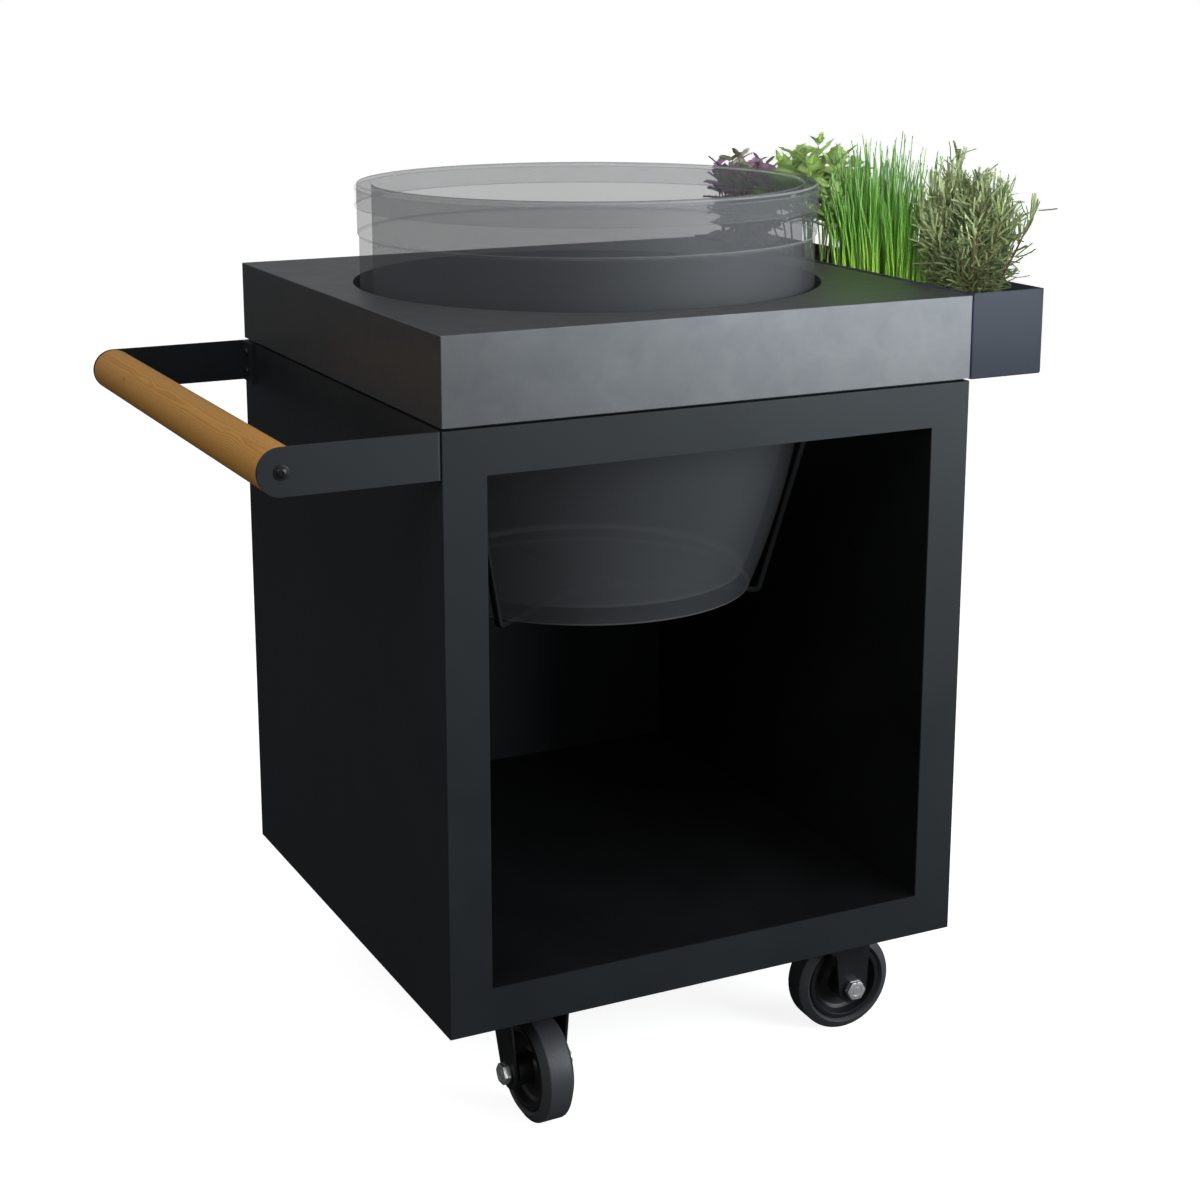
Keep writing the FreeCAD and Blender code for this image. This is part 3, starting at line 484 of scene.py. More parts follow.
def make_blade(name, foot, body, tip, low, high, painted_shade, share=0.8):
    """Leaves or stems whose colour changes from foot to tip, some darkened by their chance mark towards a
    painted shade tone that stands in for the shadow between them.
    """
    material, place = begin(name, 0.42, 0, 0.4)
    along, _, chance = apart(own_marks(material)[0])
    lines = noise(scaled(place, (900, 900, 30)), 1, 2)
    tone = blend(stretch(along, low, high), foot, body)
    tone = blend(stretch(along, 0.72, 1), tone, tip)
    # Painted shade: the chance mark darkens a blade towards the shade tone.
    tone = blend(chance, tone, painted_shade, share)
    tone = blend(stretch(lines, 0.45, 0.7), tone, [min(1, v * 1.5) for v in body], 0.35)
    return finished(material, tone, stretch(lines, 0.3, 0.7, 0.38, 0.52), lines, 0.0002)


def make_soil():
    """Dark crumbly earth with paler bits."""
    material, place = begin("soil", 0.95, 0, 0.15)
    fine = noise(place, 420, 6, 0.7)
    wide = stretch(noise(place, 60, 4, 0.6), 0.4, 0.7)
    tone = blend(stretch(fine, 0.35, 0.65), (0.012, 0.008, 0.006), (0.06, 0.038, 0.024))
    tone = blend(wide, tone, (0.085, 0.052, 0.03), 0.5)
    return finished(material, tone, stretch(fine, 0.3, 0.7, 0.85, 1), fine, 0.0012)


CABINET_COAT = coated("cabinet_coat", (0.0115, 0.0135, 0.016), (0.014, 0.0163, 0.019), 0.5, 0.42)
# Painted shade: a darker, duller copy of the cabinet coat for the liners, floor panel and posts inside the
# bay.
SHADED_INNER_COAT = coated("inner_coat_painted_shade", (0.0055, 0.0057, 0.006), (0.008, 0.0084, 0.009), 0.6, 0.2)
HANDLE_COAT = coated("handle_coat", (0.0135, 0.015, 0.0165), (0.0165, 0.0183, 0.02), 0.48, 0.5)
PLANTER_COAT = coated("planter_coat", (0.035, 0.041, 0.055), (0.04, 0.047, 0.063), 0.5, 0.2)
CASTER_COAT = coated("caster_coat", (0.012, 0.0125, 0.0135), (0.018, 0.019, 0.02), 0.42, 0.4, 500)
CRADLE_COAT = coated("cradle_coat", (0.014, 0.0145, 0.015), (0.02, 0.0205, 0.021), 0.45, 0.4)
WORKTOP = make_worktop_steel()
WOOD = make_oiled_wood()
ZINC = make_plain("zinc_plate", (0.66, 0.67, 0.68), (0.78, 0.78, 0.79), 0.46, 0.5, 260, 4e-5,
                  metallic=0.85, detail=3, vary=0.04)
BLACK_OXIDE = make_plain("black_oxide", (0.008, 0.008, 0.009), (0.014, 0.014, 0.015), 0.32, 0.5, 900, 2e-5)
CORE_PLASTIC = make_plain(
    "core_plastic", (0.0085, 0.009, 0.01), (0.014, 0.0145, 0.016), 0.36, 0.45, 800, 3e-5)
TYRE_RUBBER = make_plain("tyre_rubber", (0.052, 0.056, 0.062), (0.063, 0.067, 0.074), 0.48, 0.5, 450, 6e-5)
SMOKE_TINT = (0.13, 0.139, 0.15)
SMOKE = make_smoky("smoky_shell", SMOKE_TINT, 0.34, 0.36)
SMOKE_BAND = make_smoky("smoky_band", SMOKE_TINT, 0.03, 0.07)
SOIL = make_soil()
BASIL_LEAF = make_leaf(
    "basil_leaf", (0.2, 0.095, 0.175), (0.54, 0.35, 0.54), (0.38, 0.27, 0.37), 6,
    (0.56, 0.44, 0.56), 0.5, 0.3)
SAGE_LEAF = make_leaf(
    "olive_leaf", (0.1, 0.12, 0.048), (0.48, 0.51, 0.34), (0.38, 0.41, 0.28), 6,
    (0.22, 0.15, 0.17), 0.55, 0.3)
MINT_LEAF = make_leaf(
    "mint_leaf", (0.23, 0.4, 0.072), (0.44, 0.62, 0.2), (0.44, 0.6, 0.26), 7, None, 0.55, 0.2, 1.12)
# The last colour given to each blade and stem finish is its painted shade tone.
ROSEMARY_LEAF = make_blade("rosemary_leaf", (0.24, 0.3, 0.115), (0.36, 0.45, 0.215), (0.52, 0.59, 0.39),
                           0, 0.6, (0.032, 0.052, 0.01), 0.95)
CHIVE_BLADE = make_blade("chive_blade", (0.34, 0.56, 0.055), (0.195, 0.48, 0.066), (0.3, 0.44, 0.22),
                         0.05, 0.55, (0.032, 0.14, 0.007), 0.86)
GREEN_STEM = make_blade(
    "green_stem", (0.145, 0.17, 0.06), (0.215, 0.34, 0.08), (0.27, 0.43, 0.12), 0, 0.5, (0.1, 0.16, 0.04))
PURPLE_STEM = make_blade(
    "purple_stem", (0.11, 0.085, 0.07), (0.18, 0.11, 0.145), (0.26, 0.18, 0.23), 0, 0.5, (0.07, 0.04, 0.055))
WOODY_STEM = make_blade(
    "woody_stem", (0.1, 0.065, 0.035), (0.14, 0.11, 0.05), (0.26, 0.3, 0.14), 0, 0.7, (0.05, 0.035, 0.018))


# Grill bowl
def rounded(corners_with_radius, steps=4):
    """An open profile with round corners (radius, level, size, edge), and how near an edge its points are,
    which sets the painted highlight there.

    A point 1.2 mm before and after each arc keeps the painted highlight along its edge thin.
    """
    table = np.array(corners_with_radius, float)
    arcs = softened(table[:, :2], np.maximum(table[:, 2], 0.05 * MM), steps, False)
    edge = np.r_[0, np.repeat(table[1:-1, 3], steps + 1), 0]
    gap = arcs[1:] - arcs[:-1]
    length = np.linalg.norm(gap, axis=1)[:, None]
    near = gap * np.minimum(1.2 * MM / np.maximum(length, 1e-9), 0.45)
    wide = length[:, 0] > 4 * MM
    spots = np.arange(len(arcs), dtype=float)
    points = np.r_[arcs, (arcs[:-1] + near)[wide], (arcs[1:] - near)[wide]]
    rank = np.argsort(np.r_[spots, spots[:-1][wide] + 0.1, spots[:-1][wide] + 0.9])
    return points[rank], np.r_[edge, np.zeros(2 * wide.sum())][rank]


def make_bowl():
    """The shell: a profile from the middle of its foot up the curved wall, over the rim and back inside."""
    low, high, centre = span("grill_bowl")
    rim = (high[0] - low[0]) / 2
    foot, top = low[2], high[2]
    wall = 17.5 * MM
    step = 2 * MM
    step_level = top - 59 * MM
    shoulder = foot + 371 * MM
    curve = 1
    floor = foot + 18 * MM
    axis = 2 * MM

    def side(radius, level):
        """A wall that leaves the upright at the shoulder on an arc: r - curve + sqrt(curve^2 - drop^2)."""
        drop = np.maximum(shoulder - level, 0)
        return radius - curve + np.sqrt(curve ** 2 - drop ** 2)

    up = np.linspace(foot + 7 * MM, step_level - 4 * MM, 28)
    down = np.linspace(top - 80 * MM, floor + 20 * MM, 26)
    outer = np.stack([side(rim - step, up), up], -1)
    inner = np.stack([side(rim - wall, down), down], -1)
    # The last value of each corner is the strength of the painted highlight along that rounded edge.
    base, base_highlight = rounded([
        (axis, foot, 0, 0), (side(rim - step, foot), foot, 4 * MM, 0.7), (*outer[0], 0, 0)])
    lip, lip_highlight = rounded([
        (*outer[-1], 0, 0), (rim - step, step_level - step, 0.5 * MM, 0.5), (rim, step_level, 0.5 * MM, 1),
        (rim, top, 1.6 * MM, 1), (rim - wall, top, 1.6 * MM, 1), (rim - wall, top - 60 * MM, 0, 0)])
    dish, dish_highlight = rounded([
        (*inner[-1], 0, 0), (side(rim - wall, floor), floor, 8 * MM, 0.5), (axis, floor, 0, 0)])
    profile = np.r_[base[:-1], outer, lip[1:], inner, dish[1:]]
    edge = np.r_[base_highlight[:-1], 0 * up, lip_highlight[1:], 0 * down, dish_highlight[1:]]
    piece("bowl_shell", [centred(lathe(profile, 192, edge), centre)], SMOKE, "bowl",
          ["grill_bowl"], 30)


def make_band():
    """The flat band round the rim with softened edges, half a millimetre off the wall inside it."""
    low, high, centre = span("bowl_band")
    outer = (high[0] - low[0]) / 2
    inner = outer - 2.5 * MM
    bottom, top = low[2], high[2]
    profile = softened(
        [(inner, bottom), (outer, bottom), (outer, top), (inner, top)], np.array([0.3, 0.8, 0.8, 0.3]) * MM)
    profile = np.insert(profile, 10, [(outer, bottom + 1.6 * MM), (outer, top - 1.6 * MM)], axis=0)
    # Strength of the painted highlight along the band's rounded edges.
    edge = np.repeat([0.6, 1, 0, 1, 0.6], [5, 5, 2, 5, 5])
    piece("rim_band", [centred(hoop(profile, 192, edge), centre)], SMOKE_BAND, "bowl",
          ["bowl_band"], 40)


# Cradle
def make_cradle():
    """Three bent bars with rounded edges, and the hub plate that joins them."""
    low, high, _ = span("cradle")
    bowl_low, _, centre = span("grill_bowl")
    seat, rise = low[2], high[2]
    thick = 6 * MM
    width = 8 * MM
    bend = 7 * MM
    foot, head, tab = 211 * MM, 286 * MM, 312.5 * MM
    section = box_outline(width / 2, thick / 2, MM, 3)
    line = softened([(20 * MM, seat + thick / 2), (foot, seat + thick / 2), (head, rise - thick / 2),
                     (tab, rise - thick / 2)], [0, bend, bend, 0], 8, False)
    bars = []
    for angle in (-145, -35, 90):
        turn = math.radians(angle)
        out = np.array([math.cos(turn), math.sin(turn), 0])
        across = np.array([-math.sin(turn), math.cos(turn), 0])
        route = centre * (1, 1, 0) + line[:, :1] * out + line[:, 1:] * UP
        outwards = np.cross(unit(np.gradient(route, axis=0)), across)
        rings = route[:, None] + section[:, :1] * across + section[:, 1:] * outwards[:, None]
        bars.append(capped(rings[None]))
    top = bowl_low[2] - 0.3 * MM
    hub = softened([(MM, seat), (28 * MM, seat), (28 * MM, top), (MM, top)], [0, MM, MM, 0], 3, False)
    bars.append(centred(lathe(hub, 64), centre))
    piece("cradle_bars", bars, CRADLE_COAT, "table", ["cradle"])


# Push handle
def button_screw(radius, height, key, key_depth):
    """A button head about +Z standing on z = 0, with a hexagon socket."""
    share = np.linspace(0, 1, 9)
    dome = radius * np.sqrt(1 - (0.92 * share) ** 2)
    socket = hexagon(key * math.cos(TURN / 12))
    rings = [circle(radius * 0.97), *map(circle, dome), socket * 1.08, socket, socket]
    levels = [0, *(0.15 + 0.85 * share) * height, height, height - 0.15 * MM, height - key_depth]
    return capped(polar(rings, levels)[None])


def make_handle():
    """The turned grip, the screws at its ends on their washers, and the bolts of the arms' flanges."""
    low, high, centre = span("handle_grip")
    radius = (high[2] - low[2]) / 2
    half = (high[1] - low[1]) / 2
    body = np.stack([np.full(41, radius), np.linspace(-1, 1, 41) * (half - 4 * MM)], -1)
    foot = [(MM, -half), (radius, -half), (radius, -half + 8 * MM)]
    foot = softened(foot, [0, 2.2 * MM, 0], 5, False)[:-1]
    stick = along_y(lathe(np.r_[foot, body, (foot * (1, -1))[::-1]], 96), centre, True)
    piece("grip_stick", [stick], WOOD, "table", ["handle_grip"])

    arm_low, arm_high, _ = span("handle_arm_front")
    thick = 0.9 * MM
    washer = lathe(softened([(3 * MM, 0), (8.2 * MM, 0), (8.2 * MM, thick), (3 * MM, thick)],
                            [0, 0.3 * MM, 0.3 * MM, 0], 3, False), HEAD_SIDES)
    height = arm_low[1] - span("grip_screws")[0][1]
    head = button_screw(5.6 * MM, height - thick, 2.3 * MM, 1.6 * MM)
    heads = []
    for side in (-1, 1):
        for part, out in ((washer, 0), (head, thick)):
            heads.append(along_y(part, (centre[0], side * (out - arm_low[1]), centre[2]), side < 0))
    piece("grip_screw_heads", heads, BLACK_OXIDE, "table", ["grip_screws"])

    low, high, _ = span("handle_bolts")
    size = 5.5 * MM
    bolt = button_screw(size, 3.3 * MM, 2.3 * MM, 1.8 * MM)
    towards_left = [[0, 0, -1], [0, -1, 0], [-1, 0, 0]]
    bolts = [turned(bolt, towards_left, (arm_high[0] - 4 * MM, y, z))
             for y in (low[1] + size, high[1] - size) for z in (low[2] + size, high[2] - size)]
    piece("flange_bolt_heads", bolts, BLACK_OXIDE, "table", ["handle_bolts"])


# Casters
def hex_head(size, height):
    """A hexagon head about +Z in two tiers with a groove between them, and a ring pressed into its top."""
    flats = hexagon(size)
    groove = flats * 0.93
    split = height * 0.42
    chamfer = 0.6 * MM
    ring = 6.6 * MM
    disc = [circle(ring * share) for share in (1, 0.94, 0.8, 0.74)]
    rings = [flats * 0.985, flats, flats, groove, groove, flats, hexagon(size, 0.985), hexagon(size, 0.95),
             circle(size * 0.98), *disc]
    levels = [0, 0.2 * MM, split - 0.3 * MM, split, split + 0.8 * MM, split + 1.1 * MM, height - chamfer,
              height - chamfer * 0.5, height, height, height - 0.4 * MM, height - 0.4 * MM, height]
    return capped(polar(rings, levels)[None])


def hex_nut(size, bore):
    """A hexagon nut about +Z with a round collar on top."""
    flats = hexagon(size)
    rings = [circle(bore), flats * 0.985, flats, flats, hexagon(size, 0.98),
             *(circle(radius * MM) for radius in (10.2, 9.6, 8.4)), circle(bore)]
    return looped(polar(rings, np.array([0, 0, 0.2, 9.6, 10.4, 10.9, 13.2, 13.9, 13.9]) * MM))


def fork_sheet(trail, radius, gap, wall):
    """The bent sheet of a fork: a route up one leg, over the wheel and down the other, given a width.

    The legs end in half circles about the axle, lean outwards by a share of their height above it, and
    widen towards the kingpin by a smoothstep.
    """
    leg = 19.5 * MM
    bend = 5 * MM
    lean = 0.09
    sweep = 0.15
    inner = gap + wall / 2
    top = 136 * MM - wall / 2
    wide = inner + lean * (top - radius)
    over = [(-inner, radius), (-wide, top), (wide, top), (inner, radius)]
    over = softened(over, [0, bend, bend, 0], 8, False)
    turn = np.linspace(0, 1, 16)[1:-1]
    low = radius - leg * np.cos(turn * TURN / 4)
    straight = np.linspace(radius + 2 * MM, top - 9 * MM, 9)
    level = np.r_[[radius - leg + 0.03 * MM], low, straight]
    down = np.stack([-inner - lean * np.maximum(level - radius, 0), level], -1)
    route = np.r_[down, over[1:-1], (down * (-1, 1))[::-1]]
    half = np.sqrt(leg ** 2 - np.clip(radius - route[:, 1], 0, leg) ** 2)
    above = np.maximum(route[:, 1] - radius, 0)
    flare = smoothstep(np.clip((above - 45 * MM) / (top - radius - 49 * MM), 0, 1))
    back = trail - half - sweep * above - flare * (trail - 10 * MM)
    share = np.array([0, 0.02, 0.25, 0.5, 0.75, 0.98, 1])
    thin = np.array([0.6, 1, 1, 1, 1, 1, 0.6])[None, :, None]
    x = back[:, None] + (trail + half - back)[:, None] * share
    surface = np.stack([x, np.repeat(route[:, :1], 7, 1), np.repeat(route[:, 1:], 7, 1)], -1)
    tangent = unit(np.gradient(route, axis=0))
    normal = np.stack([np.zeros(len(route)), -tangent[:, 1], tangent[:, 0]], -1)
    shift = normal[:, None] * thin * wall / 2
    return capped(np.concatenate([surface + shift, (surface - shift)[:, ::-1]], 1)[None])


def make_caster(corner):
    """A swivel caster: fork, wheel off the fork's middle, axle bolt with its washers, and nut.

    Profiles are in millimetres, as (radius, place along the axle or level).
    """
    roll, swivel = JOINTS[corner + "_roll"], JOINTS[corner + "_turn"]
    wheel, axle = np.array(roll["pos_m"]), np.array(roll["axis"])
    ahead = np.cross(axle, UP)
    facing = np.stack([ahead, axle, UP], 1)
    pivot = np.array(swivel["pos_m"]) * (1, 1, 0)
    shift = (wheel - pivot) @ axle
    hub = wheel - shift * axle
    gap = 27.5 * MM
    wall = 4 * MM
    out = gap + wall
    washer = 1.6 * MM

    def add_piece(name, parts, place, material, body, crease=38):
        """One of the caster's pieces, made with its axle along Y; the washers have no node."""
        nodes = [] if name == "axle_washers" else ["caster_%s_%s" % (corner, name)]
        piece("%s_%s" % (name, corner), [turned(part, facing, place) for part in parts], material,
              "%s_%s" % (corner, body), nodes, crease)

    half = [(48.6, 15.5), (51.6, 20), (52.8, 20), (62.5, 13.6)]
    tyre = softened([(r, -y) for r, y in half] + half[::-1], [0.5, 0.6, 0.8, 2.2, 2.2, 0.8, 0.6, 0.5]) * MM
    add_piece("tyre", [along_y(hoop(tyre, 128))], wheel, TYRE_RUBBER, "wheel")

    web = [(19.5, 8.6), (26, 6.2), (34.5, 7.6), (38, 10.4), (41, 15.6), (42.4, 18.3), (47.2, 18.3),
           (48.55, 17)]
    near, far = ([(6.05, reach), (13.6, reach), (17, reach - 3.4), (17.8, 12)] + web
                 for reach in (gap / MM - 0.4 + shift / MM, gap / MM - 0.4 - shift / MM))
    soft = [0.3, 1.2, 1.2, 2, 3, 3, 2, 2, 1.5, 0.6, 0.5, 0.4]
    core = softened([(r, -y) for r, y in near] + far[::-1], soft + soft[::-1], 3) * MM
    add_piece("core", [along_y(hoop(core, 128))], wheel, CORE_PLASTIC, "wheel")

    crown = softened([(6.05, 135.7), (34, 135.7), (35, 136.9), (35, 140.4), (33.6, 141.7), (6.05, 141.7)],
                     [0.2, 0.6, 0.6, 0.8, 0.8, 0.2]) * MM
    fork = [fork_sheet((wheel - pivot) @ ahead, wheel[2], gap, wall), hoop(crown, 96)]
    add_piece("fork", fork, pivot, CASTER_COAT, "swivel")

    disc = hoop(softened([(6, 0), (13.2, 0), (13.2, 1.6), (6, 1.6)], [0.1, 0.3, 0.4, 0.1], 3) * MM, 64)
    washers = [along_y(disc, (0, -out, 0), True), along_y(disc, (0, out, 0))]
    add_piece("axle_washers", washers, hub, CASTER_COAT, "swivel")

    size = 10.9 * MM
    end = out + 16.9 * MM
    ridges = np.arange(12)
    thread = np.stack([5.9 * MM - 0.45 * MM * (ridges % 2), end - 6.4 * MM + ridges * 0.55 * MM], -1)
    shank = np.r_[
        [(MM, -out), (5.95 * MM, -out), (5.95 * MM, end - 6.8 * MM)], thread, [(4.6 * MM, end), (MM, end)]]
    bolt = [along_y(hex_head(size, 7.9 * MM), (0, -out - washer, 0), True), along_y(lathe(shank, 48))]
    add_piece("axle_bolt", bolt, hub, ZINC, "swivel", 25)
    nut = along_y(hex_nut(size, 6 * MM), (0, out + washer, 0))
    add_piece("axle_nut", [nut], hub, ZINC, "swivel", 25)


# Planter and its soil
def make_planter():
    """A trough bent from sheet: its outline carried up the outside, over the rim and down the inside."""
    low, high, centre = span("planter_box")
    half = (high - low) / 2
    line = [(8, 0), (0, 0), (0, 99), (1.5, 99), (1.5, 1.5), (10, 1.5)]
    line = softened(line, [0, 2, 0.5, 0.5, 1, 0], 4, False)
    rings = [np.insert(box_outline(*(half[:2] - inset * MM), max(2 - inset * 0.3, 0.6) * MM, 5),
                       2, low[2] + level * MM, axis=1) for inset, level in line]
    piece("planter_trough", [centred(capped(np.array([rings])), centre)], PLANTER_COAT, "planter",
          ["planter_box"])


def soft_noise(x, y, cell, seed):
    """Smooth random heights between -1 and 1: corner values of a square lattice, joined by smoothsteps."""
    table = np.random.default_rng(seed).uniform(-1, 1, (64, 64))
    u, v = x / cell + 100, y / cell + 100
    i, j = np.floor(u).astype(int), np.floor(v).astype(int)
    a, b = smoothstep(u - i), smoothstep(v - j)
    near, far = (table[i % 64, k % 64] * (1 - a) + table[(i + 1) % 64, k % 64] * a for k in (j, j + 1))
    return near * (1 - b) + far * b


def make_soil_bed():
    """A lumpy bed: level noise of three sizes on top, flat below, with crumbs scattered over it."""
    low, high, _ = span("planter_soil")
    inset = 0.4 * MM
    sides = (np.linspace(low[axis] + inset, high[axis] - inset, (40, 240)[axis]) for axis in (0, 1))
    grid_x, grid_y = np.meshgrid(*sides, indexing="ij")

    def lumps(x, y):
        """The two wider sizes of noise, in millimetres."""
        return soft_noise(x, y, 0.03, 3) * 2.2 + soft_noise(x, y, 0.011, 4) * 1.5

    top = high[2] + (lumps(grid_x, grid_y) + soft_noise(grid_x, grid_y, 0.005, 5) * 0.9) * MM
    top = np.stack([grid_x, grid_y, top], -1)
    base = np.stack([grid_x, grid_y, np.full_like(grid_x, high[2] - 20 * MM)], -1)
    bed = capped(np.concatenate([top[:, ::-1], base], 1)[None])

    rng = np.random.default_rng(11)
    count = 900
    edge = 4 * MM
    spot_x, spot_y = (rng.uniform(low[axis] + edge, high[axis] - edge, count) for axis in (0, 1))
    size = rng.uniform(0.8, 2.8, count) * MM
    latitude = np.array([-0.6, 0, 0.6])
    ball, _ = spun(np.stack([np.cos(latitude), np.sin(latitude)], -1), 6)
    uneven = rng.uniform(0.7, 1.3, (count, 3, 6, 1))
    spots = np.stack([spot_x, spot_y, high[2] + lumps(spot_x, spot_y) * MM], -1)
    crumbs = capped(ball * uneven * size[:, None, None, None] + spots[:, None, None])
    piece("soil_bed", [bed, crumbs], SOIL, "planter", ["planter_soil"], 70)


# Herbs
def stems(rng, count, spot, spread, height, lean, points=9, curve=1.6, wander=0.5):
    """Curved stem lines of shape (count, points, 3).

    Each drifts sideways by lean times height times a power (curve) of the share of its length. The outer
    ones lean outwards and are shorter; wander is the share of the lean that goes any way by chance.
    """
    foot = spot[:2] + rng.uniform(-1, 1, (count, 2)) * spread
    way = rng.uniform(0, TURN, count)
    out = (foot - spot[:2]) / spread
    drift = np.stack([np.cos(way), np.sin(way)], -1) * wander + out * 0.9
    share = np.linspace(0, 1, points)
    tall = rng.uniform(*height, count) * (1 - 0.18 * np.clip((out ** 2).sum(1), 0, 1.5))
    flat = foot[:, None] + drift[:, None] * lean * tall[:, None, None] * (share ** curve)[None, :, None]
    return np.concatenate([flat, (share[None] * tall[:, None] + spot[2])[..., None]], -1)


def rods(rng, lines, thick, thin):
    """Round tapering rods along lines of shape (count, points, 3)."""
    count, points, _ = lines.shape
    around = 6
    ahead = unit(np.gradient(lines, axis=1))
    side = unit(np.cross(ahead, np.array([1, 0.3, 0])))
    other = np.cross(ahead, side)
    share = np.linspace(0, 1, points)[None, :, None, None]
    thick = np.broadcast_to(thick, count)[:, None, None, None]
    radius = thick + (thin - thick) * share ** 1.3
    angle = np.arange(around) / around * TURN
    ring = np.cos(angle)[:, None] * side[:, :, None] + np.sin(angle)[:, None] * other[:, :, None]
    marks = np.zeros((count, points, around, 4))
    marks[..., 0] = share[..., 0]
    marks[..., 2] = rng.uniform(0, 1, count)[:, None, None]
    return capped(lines[:, :, None] + ring * radius, marks)


def on_line(lines, which, share):
    """The points at a share of the length of chosen lines."""
    place = share * (lines.shape[1] - 1)
    low = np.minimum(np.floor(place).astype(int), lines.shape[1] - 2)
    part = (place - low)[:, None]
    return lines[which, low] * (1 - part) + lines[which, low + 1] * part


def leaves(rng, base, heading, pitch, bend, length, width, shape, rows, columns, cup, teeth=0, bite=0.3,
           thickness=0.35 * MM, chance=None):
    """Thin closed leaves from their feet, headings and pitches, which change evenly along them by bend.

    The half width at a share u of a leaf's length is width / 2 times shape(u), cut by its teeth, and its
    sides rise by cup times their distance from the midrib.
    """
    count = len(base)
    full = np.linspace(0, 1, rows + 2)
    along = full[1:-1]
    angle = pitch[:, None] + bend[:, None] * full
    step = (length / (rows + 1))[:, None]
    ahead = np.cumsum(np.cos(angle) * step, 1)[:, :rows, None]
    up = np.cumsum(np.sin(angle) * step, 1)[:, :rows, None]
    angle = angle[:, 1:-1, None]
    x, y = np.cos(heading), np.sin(heading)
    forward, left = (np.stack([*way, 0 * x], -1)[:, None] for way in ((x, y), (-y, x)))
    line = base[:, None] + forward * ahead + UP * up
    normal = -forward * np.sin(angle) + UP * np.cos(angle)
    roll = rng.normal(0, 0.25, count)[:, None, None]
    side = left * np.cos(roll) + normal * np.sin(roll)
    top = normal * np.cos(roll) - left * np.sin(roll)
    across = np.linspace(1, -1, columns)
    cut = 1
    if teeth:
        saw = np.mod(along * teeth + 0.25, 1)
        cut = 1 - bite * saw[None, :, None] * (np.abs(across) > 0.95)
    half = (width / 2)[:, None, None] * shape(along)[None, :, None] * across * cut
    lift = np.abs(half) * cup + np.sin(along * TURN * 1.5)[None, :, None] * np.abs(half) * 0.12
    upper = line[:, :, None] + side[:, :, None] * half[..., None] + top[:, :, None] * lift[..., None]
    lower = upper[:, :, -2:0:-1] - top[:, :, None] * thickness
    rings = np.concatenate([upper, lower], 2)
    chance = rng.uniform(0, 1, count) if chance is None else chance
    marks = np.zeros(rings.shape[:3] + (4,))
    marks[..., 0] = along[None, :, None]
    marks[..., 1] = np.abs(np.r_[across, across[-2:0:-1]])
    marks[..., 2] = chance[:, None, None]
    marks[..., columns:, 3] = 1
    return capped(rings, marks)


def pairs(rng, lines, per_stem, low, last_pitch):
    """Feet, headings and pitches of leaves that sit in crossed pairs up each stem."""
    count = len(lines)
    level = np.tile(np.arange(per_stem), count)
    which = np.repeat(np.arange(count), per_stem)
    share = low + (1 - low) * (level / (per_stem - 1)) ** 0.85
    share = np.clip(share + rng.normal(0, 0.012, len(share)), 0.02, 1)
    start = rng.uniform(0, TURN, count)[which] + level * TURN / 4 + rng.normal(0, 0.25, len(level))
    which, share = np.tile(which, 2), np.tile(share, 2)
    heading = np.r_[start, start + TURN / 2] + rng.normal(0, 0.2, len(which))
    pitch = (last_pitch + 0.05) * share - 0.05 + rng.normal(0, 0.16, len(which))
    return share, on_line(lines, which, share), heading, pitch


def broad(fall, power, stalk):
    """The half width of a broad leaf on a short stalk, at each share of its length."""
    return lambda u: np.maximum(
        np.sin(np.clip((u - 0.08) / 0.92, 0, 1) ** fall * TURN / 2) ** power, stalk * (1 - u))


def needle(u):
    """The half width of a narrow leaf, nearly even."""
    return np.clip(np.sin(u * TURN / 2), 0, 1) ** 0.5


def herb_bed(node, offset=(0, 0)):
    """The middle of a herb's ground, on the soil, with an offset along x and y."""
    low, _, centre = span(node)
    return np.array([centre[0] + offset[0], centre[1] + offset[1], low[2] - 2 * MM])


def off_the_walls(base, heading, pitch, bend, length, *others):
    """Values of the leaves that stay within the planter's walls wherever they are below its rim."""
    low, high, _ = span("planter_soil")
    rim = span("planter_box")[1][2]
    edge = 3 * MM
    clear = np.ones(len(base), bool)
    for share in (0.5, 0.75, 1):
        angle = pitch + bend * share / 2
        way = np.stack([np.cos(heading) * np.cos(angle), np.sin(heading) * np.cos(angle), np.sin(angle)], -1)
        point = base + way * (length * share)[:, None]
        inside = ((point[:, :2] > low[:2] + edge) & (point[:, :2] < high[:2] - edge)).all(1)
        clear &= inside | (point[:, 2] > rim + 4 * MM)
    return [value[clear] for value in (base, heading, pitch, bend, length, *others)]


def tapered(place, start, fall):
    """1 up to a share of the stem's length, then an even fall towards its tip."""
    return 1 - fall * np.clip(place - start, 0, 1) / (1 - start)


def herb(name, part, material, nodes=(), crease=60):
    """One of a herb's pieces, with its material."""
    piece(name, [part], material, "planter", nodes, crease)


def make_basil():
    """Purple leaves in crossed pairs up leaning stems, with a few olive ones before their middle."""
    rng = np.random.default_rng(21)
    for name, leaf, count, offset, spread, height, lean, nodes in (
            ("purple", BASIL_LEAF, 24, (-0.014, 0.022), (0.024, 0.052), (0.098, 0.126), (0.22, 0.26),
             ["herb_basil"]),
            ("olive", SAGE_LEAF, 8, (-0.024, -0.006), (0.014, 0.024), (0.118, 0.132), (0.16, 0.2), [])):
        lines = stems(rng, count, herb_bed("herb_basil", offset), spread, height, lean)
        place, base, heading, pitch = pairs(rng, lines, 8, 0.16, 0.75)
        size = rng.uniform(0.025, 0.034, len(place)) * tapered(place, 0.75, 0.3)
        *kept, size = off_the_walls(base, heading, pitch, rng.uniform(-0.8, 0.1, len(place)), size)
        blades = leaves(rng, *kept, size, size * 0.62, broad(0.72, 0.75, 0.07), 8, 5, 0.3)
        herb("basil_leaves_" + name, blades, leaf, nodes)
        herb("basil_stems_" + name, rods(rng, lines, 1.5 * MM, 0.8 * MM), PURPLE_STEM)


